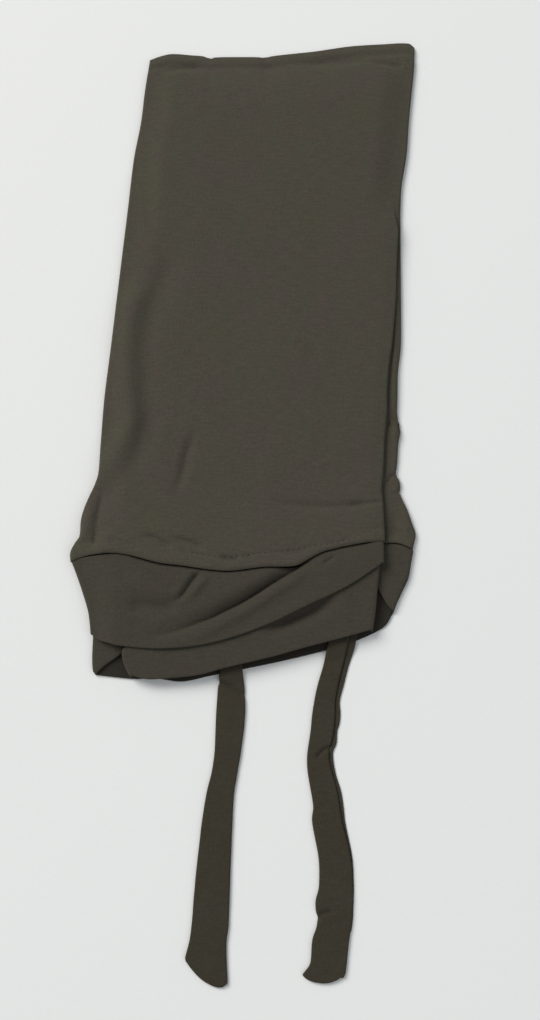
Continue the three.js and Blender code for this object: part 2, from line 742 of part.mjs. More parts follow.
const cap = new THREE.Group();
cap.add(piece("crown", crown(), JERSEY.crown));
cap.add(piece("nape_band", napeBand(), JERSEY.band));
cap.add(piece("under_band", underBand(), JERSEY.band));
cap.add(piece("over_band", overBand(), JERSEY.band));
cap.add(piece("left_tie", tie(LEFT_TIE, LEFT_TIE_END, false), JERSEY.tie));
cap.add(piece("right_tie", tie(RIGHT_TIE, RIGHT_TIE_END, true), JERSEY.tie));

export default cap;
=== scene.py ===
"""The looks of a criss-cross underscarf cap of dark olive jersey, lying flat with its front up.

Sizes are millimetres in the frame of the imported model: +Y runs from the ties to the closed end of
the crown, +X to the right, +Z up, and the floor is z = 0. Meshes are written in metres.

Every piece of cloth is a grid of points on the middle of its wall: each row of the grid is a
section across the cap, and the rows follow one another along the cap. The wall's two faces stand
off from that grid, and its free edges are rounded.
"""

import logging
import math
from dataclasses import dataclass, field
from enum import Enum

import bmesh
import bpy
import numpy as np
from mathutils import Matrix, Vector


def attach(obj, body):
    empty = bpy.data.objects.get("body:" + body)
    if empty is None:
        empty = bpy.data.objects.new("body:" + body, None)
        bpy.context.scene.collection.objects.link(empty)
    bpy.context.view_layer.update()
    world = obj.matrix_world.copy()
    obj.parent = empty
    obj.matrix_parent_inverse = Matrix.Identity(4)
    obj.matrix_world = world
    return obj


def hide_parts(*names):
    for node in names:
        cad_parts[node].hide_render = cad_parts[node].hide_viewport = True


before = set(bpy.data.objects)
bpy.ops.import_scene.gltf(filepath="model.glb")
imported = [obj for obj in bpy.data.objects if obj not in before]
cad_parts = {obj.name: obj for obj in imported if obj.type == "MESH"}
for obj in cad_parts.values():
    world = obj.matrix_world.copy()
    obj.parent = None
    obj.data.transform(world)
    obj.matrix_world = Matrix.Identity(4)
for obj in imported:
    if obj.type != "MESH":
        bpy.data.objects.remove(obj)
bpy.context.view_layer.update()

LOG = logging.getLogger("underscarf_cap")
MM = 0.001

Array = np.ndarray
Points = tuple[tuple[float, float], ...]
Place = tuple[float, float, float]
Piece = bpy.types.Object
Node = bpy.types.Node

# How the layers lie on one another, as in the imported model.
CROWN_WALL = 1.0
BAND_WALL = 1.4
LAYER_STEP = 2.1
GAP = 0.3
SEAM_GAP = 0.06
FOLD_RADIUS = LAYER_STEP / 2
LEFT_INNER_FOLD = -60.0
RIGHT_INNER_FOLD = 79.0


# Shape helpers

def smooth(value: Array | float, low: float, high: float) -> Array | float:
    """Rise smoothly from 0 at `low` to 1 at `high`."""
    part = np.clip((value - low) / (high - low), 0.0, 1.0)
    return part * part * (3.0 - 2.0 * part)


def mix(first: Array | float, second: Array | float, part: Array | float) -> Array | float:
    """Return the value `part` of the way from `first` to `second`."""
    return first + (second - first) * part


def bell(distance: Array, width: float) -> Array:
    """Return a bell of height 1 at no distance, with a half width of about `width`."""
    return np.exp(-((distance / width) ** 2))


@dataclass(frozen=True)
class Curve:
    """A smooth curve through a few points, read as a function of their first coordinate."""

    points: Points

    def __call__(self, where: Array | float) -> Array:
        """Read the curve.

        Args:
            where: First coordinates. Beyond the ends the curve stays level.

        Returns:
            The second coordinates, in the same shape.
        """
        at, value = (np.array(column, float) for column in zip(*sorted(self.points)))
        before = np.maximum(np.arange(len(at)) - 1, 0)
        after = np.minimum(np.arange(len(at)) + 1, len(at) - 1)
        slope = (value[after] - value[before]) / (at[after] - at[before])
        here = np.clip(np.asarray(where, float), at[0], at[-1])
        i = np.clip(np.searchsorted(at, here) - 1, 0, len(at) - 2)
        span = at[i + 1] - at[i]
        t = (here - at[i]) / span
        rest = 1.0 - t
        return (
            value[i] * rest * rest * (1.0 + 2.0 * t)
            + slope[i] * span * t * rest * rest
            + value[i + 1] * t * t * (3.0 - 2.0 * t)
            - slope[i + 1] * span * t * t * rest
        )


@dataclass(frozen=True)
class Fold:
    """One soft fold, crease or dimple in a sheet: a ridge, or a groove where it sinks.

    Attributes:
        path: Where it runs, in x and y, from one faded end to the other.
        width: Half width of its slope.
        height: How far it lifts the sheet, negative where it sinks.
        fade: The share of its length over which each end fades out.
        pieces: Straight pieces between two points of its path.
    """

    path: Points
    width: float
    height: float
    fade: float = 0.35
    pieces: int = 5

    def lift(self, x: Array, y: Array) -> Array:
        """Return how far the fold lifts the sheet at each point.

        Args:
            x: X of the points.
            y: Y of the points, in the same shape.

        Returns:
            The lift at each point.
        """
        knots = np.linspace(0.0, 1.0, len(self.path))
        fine = np.linspace(0.0, 1.0, self.pieces * (len(self.path) - 1) + 1)
        px, py = (Curve(tuple(zip(knots, column)))(fine) for column in zip(*self.path))
        nearest, place = np.full(np.shape(x), np.inf), np.zeros(np.shape(x))
        for i in range(len(fine) - 1):
            dx, dy = px[i + 1] - px[i], py[i + 1] - py[i]
            t = np.clip(((x - px[i]) * dx + (y - py[i]) * dy) / math.hypot(dx, dy) ** 2, 0.0, 1.0)
            distance = np.hypot(x - px[i] - t * dx, y - py[i] - t * dy)
            closer = distance < nearest
            nearest = np.where(closer, distance, nearest)
            place = np.where(closer, fine[i] + t * (fine[i + 1] - fine[i]), place)
        ends = smooth(place, 0.0, self.fade) * smooth(1.0 - place, 0.0, self.fade)
        return self.height * ends * bell(nearest, self.width)


def lift_of(folds: tuple[Fold, ...], x: Array, y: Array) -> Array:
    """Add up the lift of several folds at each point."""
    return sum((fold.lift(x, y) for fold in folds), np.zeros(np.shape(x)))


def ease(x: Array, y: Array, size: float, turn: float) -> Array:
    """Return the slow, uneven swell of a cloth that was laid down by hand.

    Args:
        x: X of the points.
        y: Y of the points.
        size: Typical distance from one swell to the next.
        turn: An angle in radians that makes one sheet's swells differ from another's.

    Returns:
        The swell at each point, mostly between -1 and 1.
    """
    total = np.zeros(np.shape(x))
    for number in range(5):
        angle = turn + 2.4 * number
        wave = 2.0 * math.pi / (size * (0.75 + 0.19 * number))
        along = x * math.cos(angle) + y * math.sin(angle)
        total = total + np.sin(along * wave + 1.7 * number + 3.0 * turn)
    return total / 2.6


def level(start: float, end: float, z: float, count: int) -> Array:
    """Return points at one height from one x to another, the last one left out."""
    return np.column_stack((np.linspace(start, end, count, endpoint=False), np.full(count, z)))


def arc(x: float, z: float, radius: float, start: float, end: float, count: int) -> Array:
    """Return points on an arc in a section, the last one left out.

    Args:
        x: X of the arc's centre.
        z: Z of the arc's centre.
        radius: Its radius.
        start: First angle in degrees, from +X towards +Z.
        end: Last angle in degrees.
        count: Number of points.

    Returns:
        An array of x and z, one row for each point.
    """
    angle = np.radians(np.linspace(start, end, count, endpoint=False))
    return np.column_stack((x + radius * np.cos(angle), z + radius * np.sin(angle)))


def row_places(fine: float, step: float, depth: float, count: int) -> Array:
    """Return the rows' shares of a band's depth, closer together beside the seam.

    Args:
        fine: Depth of the closer rows.
        step: Their distance from one another.
        depth: Depth of the band.
        count: Number of rows beyond the closer ones.

    Returns:
        The shares, from 0 at the seam to 1 at the free edge.
    """
    return np.append(np.arange(0, fine, step), np.linspace(fine, depth, count)) / depth


def evened(points: Array, count: int) -> Array:
    """Move a run of points to even distances along it.

    Args:
        points: The run, as rows of x and z.
        count: Number of points wanted.

    Returns:
        That many points, from the run's first to its last.
    """
    reach = np.concatenate(([0.0], np.cumsum(np.hypot(*np.diff(points, axis=0).T))))
    want = np.linspace(0.0, reach[-1], count)
    return np.column_stack([np.interp(want, reach, column) for column in points.T])


def unit(vectors: Array) -> Array:
    """Return the vectors at length 1."""
    return vectors / np.maximum(np.linalg.norm(vectors, axis=-1, keepdims=True), 1e-9)


# Cloth as a mesh

@dataclass
class Cloth:
    """A wall of cloth on a grid of points.

    Attributes:
        name: Name of the mesh object.
        grid: Rows by columns by x, y and z of the wall.
        half: Distance from the grid to each face, one for all or one for each point.
        ring: Whether each row closes on itself.
        stop: For a pocket, how many rows before its closed far end the inner face stops.
        shade_painted: Whether the face on the normal's side takes the second finish, which is
            painted shade.
        rim: Angles of the steps that round a free edge.
    """

    name: str
    grid: Array
    half: Array | float
    ring: bool = False
    stop: int = 0
    shade_painted: bool = False
    rim: tuple[float, ...] = (30.0, 58.0, 80.0)
    normal: Array = field(init=False)

    def __post_init__(self) -> None:
        """Find the grid's normals and round its free edges."""
        self.half = np.ones(self.grid.shape[:2]) * self.half
        along = np.gradient(self.grid, axis=0)
        if self.ring:
            across = np.roll(self.grid, -1, axis=1) - np.roll(self.grid, 1, axis=1)
        else:
            across = np.gradient(self.grid, axis=1)
        self.normal = unit(np.cross(along, across))
        if not self.ring:
            self.round_edge(1, 0)
            self.round_edge(1, -1)
        self.round_edge(0, 0)
        if not self.stop:
            self.round_edge(0, -1)

    def round_edge(self, axis: int, end: int) -> None:
        """Add the rows or columns that round one free edge.

        Args:
            axis: 0 for an edge along a row, 1 for one along a column.
            end: 0 for the first of them, -1 for the last.
        """
        parts = [np.swapaxes(a, 0, axis) for a in (self.grid, self.half, self.normal)]
        grid, half, normal = (part[end] for part in parts)
        out = unit(grid - parts[0][1 if end == 0 else -2])
        rim = []
        for angle in np.radians(self.rim):
            place = grid + out * half[:, None] * math.sin(angle)
            rim.append((place, half * math.cos(angle), normal))
        if end == 0:
            rim.reverse()
        added = [np.stack(column) for column in zip(*rim)]
        order = (added, parts) if end == 0 else (parts, added)
        joined = [np.swapaxes(np.concatenate(pair), 0, axis) for pair in zip(*order)]
        self.grid, self.half, self.normal = joined

    def closing(self, last: Array) -> Array:
        """Round off a pocket's closed end.

        Args:
            last: The outer face's last ring of points.

        Returns:
            The rows beyond it, each one flatter than the one before.
        """
        low, high = last[:, 2].min(), last[:, 2].max()
        middle, half = (low + high) / 2.0, (high - low) / 2.0
        rows = []
        for angle in np.radians(self.rim):
            row = last.copy()
            row[:, 1] += half * math.sin(angle)
            row[:, 2] = middle + (row[:, 2] - middle) * math.cos(angle)
            rows.append(row)
        return np.stack(rows)

    def build(self) -> Piece:
        """Make the closed mesh, with a UV map in metres along the cloth.

        Returns:
            The mesh object, linked to the scene.
        """
        outer = self.grid + self.normal * self.half[..., None]
        inner = self.grid - self.normal * self.half[..., None]
        if self.stop:
            outer = np.concatenate((outer, self.closing(outer[-1])))
            inner = inner[: -self.stop]
        points, faces, maps, first = [], [], [], 0
        for skin in (outer, inner):
            rows, columns, _ = skin.shape
            points.append(skin.reshape(-1, 3) * MM)
            index = first + np.arange(rows * columns).reshape(rows, columns)
            where = self.unrolled(skin)
            if self.ring:
                index = np.concatenate((index, index[:, :1]), axis=1)
            for found, values in ((faces, index), (maps, where)):
                corners = (values[:-1, :-1], values[:-1, 1:], values[1:, 1:], values[1:, :-1])
                found.append(np.stack(corners, axis=2).reshape(-1, 4, *values.shape[2:]))
            first += rows * columns
        rims, caps = self.rims(outer.shape, inner.shape)
        faces.append(rims)
        flat = np.concatenate([
            self.unrolled(skin)[:, : skin.shape[1]].reshape(-1, 2) for skin in (outer, inner)
        ])
        maps.append(flat[rims])
        quads = np.concatenate(faces)
        mesh = bpy.data.meshes.new(self.name)
        mesh.from_pydata(np.concatenate(points).tolist(), [], quads.tolist() + caps)
        # The skin on the normal's side takes the second material, the painted shade.
        if self.shade_painted:
            side = np.zeros(len(mesh.polygons), np.int32)
            side[: len(faces[0])] = 1
            mesh.polygons.foreach_set("material_index", side)
        values = np.concatenate([m.reshape(-1, 2) for m in maps] + [flat[cap] for cap in caps])
        mesh.uv_layers.new(name="cloth").data.foreach_set("uv", values.ravel())
        return self.finished(mesh)

    def unrolled(self, skin: Array) -> Array:
        """Find each point's place on the flat cloth.

        Args:
            skin: One face of the wall, as rows of points.

        Returns:
            Places across and along in metres, with a ring's closing column.
        """
        whole = np.concatenate((skin, skin[:, :1]), axis=1) if self.ring else skin
        step = np.linalg.norm(np.diff(whole, axis=1), axis=2)
        across = np.concatenate((np.zeros((len(whole), 1)), np.cumsum(step, axis=1)), axis=1)
        across -= across.mean(axis=1, keepdims=True)
        return np.stack((across, whole[..., 1]), axis=2) * MM

    def rims(self, outer: tuple[int, ...], inner: tuple[int, ...]) -> tuple[Array, list[list[int]]]:
        """Return the faces that join the wall's two skins.

        Args:
            outer: Shape of the outer skin's points.
            inner: Shape of the inner skin's points.

        Returns:
            Quads along the free edges, and one many-sided face for each closed end.
        """
        columns = outer[1]
        base = outer[0] * columns
        tops = np.arange(base).reshape(outer[:2])
        floors = base + np.arange(inner[0] * columns).reshape(inner[:2])
        edges = [(tops[0], floors[0])]
        caps: list[list[int]] = []
        if self.stop:
            caps = [tops[-1].tolist(), floors[-1].tolist()]
        else:
            edges.append((tops[-1], floors[-1]))
        if self.ring:
            edges = [(np.append(a, a[0]), np.append(b, b[0])) for a, b in edges]
        else:
            edges += [(tops[:, 0], floors[:, 0]), (tops[:, -1], floors[:, -1])]
        quads = [np.stack((a[:-1], a[1:], b[1:], b[:-1]), axis=1) for a, b in edges]
        return np.concatenate(quads), caps

    def finished(self, mesh: bpy.types.Mesh) -> Piece:
        """Turn the faces outwards, split the closed ends into triangles and shade smooth.

        Args:
            mesh: The closed mesh.

        Returns:
            The mesh object, linked to the scene.
        """
        work = bmesh.new()
        work.from_mesh(mesh)
        many = [face for face in work.faces if len(face.verts) > 4]
        bmesh.ops.triangulate(work, faces=many, ngon_method="EAR_CLIP")
        bmesh.ops.recalc_face_normals(work, faces=work.faces)
        work.to_mesh(mesh)
        work.free()
        mesh.shade_smooth()
        piece = bpy.data.objects.new(self.name, mesh)
        bpy.context.scene.collection.objects.link(piece)
        return piece


# Finishes

WAVE_PERIOD = 0.314159  # of a wave texture at scale 1, in units of its map


class Knit(Enum):
    """The two ways that a knit runs on the cloth, as the axis of its map that each one crosses."""

    WALE = "X"
    COURSE = "Y"


class Grain(Enum):
    """What breaks up a plain finish."""

    TWIST = "TexWave"  # the turns of a spun thread
    FIBRE = "TexNoise"  # the fibres of a sheet of paper


def linear(hex_colour: str) -> tuple[float, float, float, float]:
    """Turn an sRGB colour to the linear one that shaders take.

    Args:
        hex_colour: The colour as "#rrggbb".

    Returns:
        Red, green, blue and an alpha of 1.
    """
    parts = (int(hex_colour[i : i + 2], 16) / 255.0 for i in (1, 3, 5))
    red, green, blue = (p / 12.92 if p <= 0.04045 else ((p + 0.055) / 1.055) ** 2.4 for p in parts)
    return red, green, blue, 1.0


def add_node(material: bpy.types.Material, kind: str, **wanted: object) -> Node:
    """Add a node with its settings and links.

    Args:
        material: The material whose node tree gets the node.
        kind: The node's type name, without "ShaderNode".
        **wanted: An attribute of the node, or an input socket by its name with spaces as
            underscores, or by number as in_0. A socket as the value is linked to the input.

    Returns:
        The new node.
    """
    tree = material.node_tree
    node = tree.nodes.new("ShaderNode" + kind)
    for name, value in wanted.items():
        if name.startswith("in_"):
            socket = node.inputs[int(name[3:])]
        elif hasattr(node, name):
            setattr(node, name, value)
            continue
        else:
            socket = node.inputs[name.replace("_", " ")]
        if isinstance(value, bpy.types.NodeSocket):
            tree.links.new(value, socket)
        else:
            socket.default_value = value
    return node


def new_material(name: str) -> bpy.types.Material:
    """Make a material that uses nodes.

    Args:
        name: Its name.

    Returns:
        The material, with no node in it yet.
    """
    material = bpy.data.materials.new(name)
    material.use_nodes = True
    material.node_tree.nodes.clear()
    return material


@dataclass(frozen=True)
class ViscoseJersey:
    """Knitted viscose jersey, dyed in the piece.

    It gives the eye a soft, dull face with fine upright ribs, a slightly uneven dye that is
    greener in places and browner in others, and a faint pale bloom where it curves away.

    Attributes:
        name: Name of the material.
        green: The dye where it took greener.
        brown: The dye where it took browner.
        wale_mm: Distance from one knitted rib to the next.
        course_mm: Distance from one knitted row to the next.
        relief_mm: Height of the ribs.
        slub_mm: Length and height of a thick place in the yarn.
        dye_mm: Distance from one greener place to the next.
        fleck_mm: Distance from one small fleck to the next.
    """

    name: str
    green: str
    brown: str
    wale_mm: float = 1.25  # real ribs are 0.7 mm apart, too fine to show, so they are drawn coarser
    course_mm: float = 1.0
    relief_mm: float = 0.07
    slub_mm: tuple[float, float] = (9.0, 1.3)  # real ones are 0.4 mm high, drawn coarser as well
    dye_mm: float = 22.0
    fleck_mm: float = 1.5

    def material(self) -> bpy.types.Material:
        """Make the material.

        Returns:
            The material, with its nodes linked.
        """
        made = new_material(self.name)
        cloth = add_node(made, "UVMap", uv_map="cloth").outputs["UV"]
        space = add_node(made, "TexCoord").outputs["Object"]
        ribs, rows = (
            add_node(
                made, "TexWave", bands_direction=way.value, Vector=cloth,
                Scale=WAVE_PERIOD / (step_mm * MM), Distortion=1.2, Detail=1.0,
            ).outputs["Fac"]
            for way, step_mm in ((Knit.WALE, self.wale_mm), (Knit.COURSE, self.course_mm))
        )
        # Thick places in the yarn run along the knitted rows.
        long, high = self.slub_mm
        scale = (1 / (long * MM), 1 / (high * MM), 1.0)
        yarn = add_node(made, "Mapping", Vector=cloth, Scale=scale)
        slub = add_node(made, "TexNoise", Vector=yarn.outputs["Vector"], Scale=1.0, Detail=3.0)
        dye, fleck = (
            add_node(made, "TexNoise", Vector=space, Scale=1.0 / (size * MM), Detail=detail)
            for size, detail in ((self.dye_mm, 4.0), (self.fleck_mm, 2.0))
        )
        hue = add_node(made, "MapRange", Value=dye.outputs["Fac"], in_1=0.3, in_2=0.7)
        dyed = add_node(
            made, "Mix", data_type="RGBA", in_0=hue.outputs["Result"],
            in_6=linear(self.green), in_7=linear(self.brown),
        )
        shade, worn = (
            add_node(
                made, "MapRange", Value=texture.outputs["Fac"], in_1=0.3, in_2=0.7,
                in_3=1.0 - spread, in_4=1.0 + spread,
            ).outputs["Result"]
            for texture, spread in ((fleck, 0.1), (slub, 0.08))
        )
        tone = add_node(made, "Math", operation="MULTIPLY", in_0=shade, in_1=worn)
        base = add_node(
            made, "VectorMath", operation="SCALE",
            in_0=dyed.outputs[2], Scale=tone.outputs["Value"],
        )
        knit = add_node(made, "Math", operation="MULTIPLY_ADD", in_0=rows, in_1=0.45, in_2=ribs)
        rough = add_node(
            made, "Math", operation="MULTIPLY_ADD",
            in_0=slub.outputs["Fac"], in_1=1.3, in_2=knit.outputs["Value"],
        )
        bump = add_node(
            made, "Bump", Strength=1.0, Distance=self.relief_mm * MM, Height=rough.outputs["Value"],
        )
        shader = add_node(
            made, "BsdfPrincipled", Base_Color=base.outputs["Vector"], Roughness=0.92, IOR=1.47,
            Normal=bump.outputs["Normal"], Specular_IOR_Level=0.22, Sheen_Weight=0.18,
            Sheen_Roughness=0.55, Sheen_Tint=linear("#a7a08c"),
        )
        add_node(made, "OutputMaterial", Surface=shader.outputs["BSDF"])
        return made


@dataclass(frozen=True)
class PlainFinish:
    """A finish of one colour with a small grain.

    Attributes:
        name: Name of the material.
        colour: Its colour.
        grain: What breaks it up.
        grain_mm: Distance from one grain to the next.
        tones: The least and the greatest brightness of the grain.
        roughness: How dull it is.
        ior: How strongly it refracts.
        gloss: Strength of its highlight.
    """

    name: str
    colour: str
    grain: Grain
    grain_mm: float
    tones: tuple[float, float]
    roughness: float
    ior: float
    gloss: float = 0.5

    def material(self) -> bpy.types.Material:
        """Make the material.

        Returns:
            The material, with its nodes linked.
        """
        made = new_material(self.name)
        space = add_node(made, "TexCoord").outputs["Object"]
        period = WAVE_PERIOD if self.grain is Grain.TWIST else 1.0
        scale = period / (self.grain_mm * MM)
        grain = add_node(made, self.grain.value, Vector=space, Scale=scale, Detail=2.0)
        low, high = self.tones
        tone = add_node(made, "MapRange", Value=grain.outputs["Fac"], in_3=low, in_4=high)
        base = add_node(
            made, "VectorMath", operation="SCALE",
            in_0=linear(self.colour)[:3], Scale=tone.outputs["Result"],
        )
        shader = add_node(
            made, "BsdfPrincipled", Base_Color=base.outputs["Vector"], Roughness=self.roughness,
            IOR=self.ior, Specular_IOR_Level=self.gloss,
        )
        add_node(made, "OutputMaterial", Surface=shader.outputs["BSDF"])
        return made


CROWN_JERSEY = ViscoseJersey("crown_viscose_jersey_knitted", "#48473b", "#4a443d")
# Partly painted shade: the bands are the crown's cloth, dyed darker to stand in for the shade on
# their sloping faces.
BAND_JERSEY_PAINTED_SHADE = ViscoseJersey("band_viscose_jersey_painted_shade", "#403e35", "#423d36", wale_mm=1.3)
TIE_JERSEY = ViscoseJersey("tie_viscose_jersey_pressed", "#3a382e", "#3a352b", course_mm=1.2)
# Painted shade: the nape band's inner face, which shows under the upper layers, is dyed much darker
# than the band to stand in for the shade that those layers cast on it.
NAPE_PAINTED_SHADE = ViscoseJersey("nape_viscose_jersey_painted_shade", "#2d2c25", "#2e2924", course_mm=1.2)
# Spun polyester thread is a thin, slightly shiny cord. Its real twist is 0.3 mm, drawn coarser.
THREAD = PlainFinish(
    "sewing_thread_polyester_spun", "#25221a", Grain.TWIST, 0.5, (0.8, 1.15), 0.6, 1.54,
)
# Matt white paper is even and pale, with no gloss and a barely seen grain.
PAPER = PlainFinish(
    "studio_paper_matt", "#f2f4f4", Grain.FIBRE, 2.5, (0.985, 1.015), 0.9, 1.5, gloss=0.1,
)


@dataclass
class Sheet:
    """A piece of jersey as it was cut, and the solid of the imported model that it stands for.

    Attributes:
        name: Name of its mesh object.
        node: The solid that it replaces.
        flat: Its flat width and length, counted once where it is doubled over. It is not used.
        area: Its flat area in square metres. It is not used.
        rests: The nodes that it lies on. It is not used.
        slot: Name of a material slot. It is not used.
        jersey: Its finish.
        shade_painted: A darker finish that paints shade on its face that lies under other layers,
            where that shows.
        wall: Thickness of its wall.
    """

    name: str
    node: str
    flat: tuple[float, float]
    area: float
    rests: tuple[str, ...] = ()
    slot: str = "band_jersey"
    jersey: ViscoseJersey = BAND_JERSEY_PAINTED_SHADE
    shade_painted: ViscoseJersey | None = None
    wall: float = BAND_WALL

    def grid(self) -> Array:
        """Return the wall's middle as rows of sections."""
        raise NotImplementedError

    def cloth(self) -> Cloth:
        """Return its wall of cloth."""
        return Cloth(self.name, self.grid(), self.wall / 2, shade_painted=self.shade_painted is not None)

    def build(self) -> Piece:
        """Make the mesh, give it its finish, and say what it stands for.

        Returns:
            The mesh object.
        """
        piece = self.cloth().build()
        # A second finish, where there is one, is painted shade.
        for finish in (self.jersey, self.shade_painted):
            if finish:
                piece.data.materials.append(finish.material())
        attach(piece, "root")
        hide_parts(self.node)
        LOG.info("%s: %d faces, replaces %s", piece.name, len(piece.data.polygons), self.node)
        return piece


# The cap

@dataclass(frozen=True)
class Hem:
    """The seam between the crown and its bands.

    Attributes:
        front: The seam on the front, seen from above.
        back: The seam on the back.
        turn: Heights between which one becomes the other, round the sides.
        groove: How much wider than the sewn gap the seam's groove is, by x.
        stitching: The line of needle holes above the seam.
    """

    front: Curve = Curve((
        (-115, -60), (-105, -56.4), (-89, -55), (-77, -56.4), (-58, -61.5), (-45, -63.2),
        (-15, -66.8), (9, -64.2), (29, -63.4), (40, -57.6), (48, -53.8), (71, -48.6),
        (85, -47.2), (96, -47.6), (105, -51.5),
    ))
    back: Curve = Curve(((-115, -59.6), (105, -51.3)))
    turn: tuple[float, float] = (1.4, 2.1)
    groove: Curve = Curve(((-115, 0.3), (-100, 0.3), (-84, 0), (84, 0), (90, 0.3), (105, 0.3)))
    stitching: Curve = Curve((
        (-112, -49), (-99, -47), (-76, -48.5), (-51, -52.5), (-32, -55.7), (-16, -57.7),
        (0, -56), (13, -54.4), (25.5, -53), (38, -51), (51, -49), (60.5, -47), (73, -42),
        (84, -38), (91, -38.4), (96, -37.7), (103, -39),
    ))

    def y(self, x: Array, z: Array) -> Array:
        """Return the seam's y at points of a section."""
        return mix(self.back(x), self.front(x), smooth(z, *self.turn))

    def band_y(self, x: Array, z: Array) -> Array:
        """Return the y of the bands' first row: half a wall of rounded rim goes beyond it."""
        rim = (SEAM_GAP + BAND_WALL) / 2
        return self.y(x, z) - rim - self.groove(x) * smooth(z, *self.turn)


HEM = Hem()


@dataclass(frozen=True)
class CrownSection:
    """The places that shape one section of the crown.

    Attributes:
        left: X of the wall's middle at the left edge.
        right: The same at the outer right edge.
        fold: The same at the front sheet's fold over the pleat.
        inner: The same at the pleat's inner fold.
        top: Height of the front sheet's middle.
        puff: How far the front sheet swells above that.
        pleat: How far the side is pleated, from 0 to 1.
        edge_radius: Radius of the soft roll at a plain edge.
        floor: Height of the back sheet's middle.
        edge_rise: Distance from an edge over which the front sheet rises to its height.
        settle: How far the front sheet settles towards its fold over the pleat.
    """

    left: float
    right: float
    fold: float
    inner: float
    top: float
    puff: float
    pleat: float
    edge_radius: float
    floor: float = CROWN_WALL / 2
    edge_rise: float = 22.0
    settle: float = 0.8

    @property
    def roll(self) -> float:
        """Radius of the soft roll at a plain edge."""
        return min(self.edge_radius, (self.top - self.floor) / 2)

    @property
    def fold_radius(self) -> float:
        """Radius of the front sheet's fold over the pleat."""
        return max((self.fold_top - self.floor - 2 * LAYER_STEP) / 2, 0.3)

    @property
    def fold_top(self) -> float:
        """Height of the front sheet's middle where it folds over the pleat."""
        return float(self.front(self.fold))

    def front(self, x: Array) -> Array:
        """Find the height of the front sheet's middle.

        Args:
            x: X of the points.

        Returns:
            The height at each point.
        """
        low = self.floor + 2 * self.roll
        settle = self.settle * self.pleat * (1 - smooth(self.fold - x, 0, 9))
        left, right = self.left + self.roll, self.right - self.roll
        climb_left = smooth(x, left, left + self.edge_rise)
        climb_right = mix(smooth(right - x, 0, self.edge_rise), 1.0, self.pleat)
        u = np.clip((x - self.left) / (self.fold - self.left), 0, 1)
        swell = self.puff * 4 * u * (1 - u) * climb_left
        return low + (self.top - low) * climb_left * climb_right + swell - settle

    def side(self, count: int) -> Array:
        """Shape the right side, from the back sheet round the pleat to the front sheet.

        Args:
            count: Number of points.

        Returns:
            An array of x and z, one row for each point.
        """
        right, inner, floor = self.right - FOLD_RADIUS, self.inner + FOLD_RADIUS, self.floor
        bend = self.fold - self.fold_radius
        pleated = np.concatenate((
            arc(right, floor + FOLD_RADIUS, FOLD_RADIUS, -90, 90, 14),
            level(right, inner, floor + LAYER_STEP, 14),
            arc(inner, floor + 1.5 * LAYER_STEP, FOLD_RADIUS, 270, 90, 10),
            level(inner, bend, floor + 2 * LAYER_STEP, 8),
            arc(bend, self.fold_top - self.fold_radius, self.fold_radius, -90, 90.01, 19),
        ))
        edge = self.right - self.roll
        sheet = np.linspace(edge, edge - 8, 20)
        plain = np.concatenate((
            arc(edge, floor + self.roll, self.roll, -90, 90, 16),
            np.column_stack((sheet, self.front(sheet))),
        ))
        return mix(evened(plain, count), evened(pleated, count), self.pleat)

    def ring(self, back: int, side: int, front: int, roll: int) -> Array:
        """Return the whole section, from the left of the back sheet round to where it began.

        Args:
            back: Number of points on the back sheet.
            side: Number of points on the right side.
            front: Number of points on the front sheet.
            roll: Number of points on the left edge's roll.

        Returns:
            An array of x and z, one row for each point.
        """
        turned = self.side(side + 1)
        left = self.left + self.roll
        sheet = np.linspace(turned[-1, 0], left, front, endpoint=False)
        return np.concatenate((
            level(left, turned[0, 0], self.floor, back),
            turned[:-1],
            np.column_stack((sheet, self.front(sheet))),
            arc(left, self.floor + self.roll, self.roll, 90, 270, roll),
        ))


# The crown's right side, seen from above, a row for each bend: y, x of the outer edge, and
# x of the front sheet's fold over the pleat.
RIGHT_SIDE = (
    (-52, 104.2, 86.3), (-47, 105.4, 86.3), (-41, 106.5, 86.2), (-34, 104.4, 86),
    (-26, 101.4, 85.7), (-20, 98.4, 85.3), (-15, 96.3, 84.9), (-10, 97.4, 85.5), (-3, 94.7, 86.2),
    (6, 95.7, 86.9), (20, 96.9, 87.6), (28, 98.4, 88.4), (37, 96.6, 89.4), (54, 97.1, 90),
    (70, 97.8, 91.4), (87, 100, 94), (118, 100.9, 97), (142, 101.3, 98.1), (174, 101.9, 100.4),
    (184, 102, 101.9), (205, 103.4, 103.4), (229, 107.4, 107.4), (255, 109.7, 109.7),
    (297, 114.2, 114.2), (313, 115.1, 115.1),
)


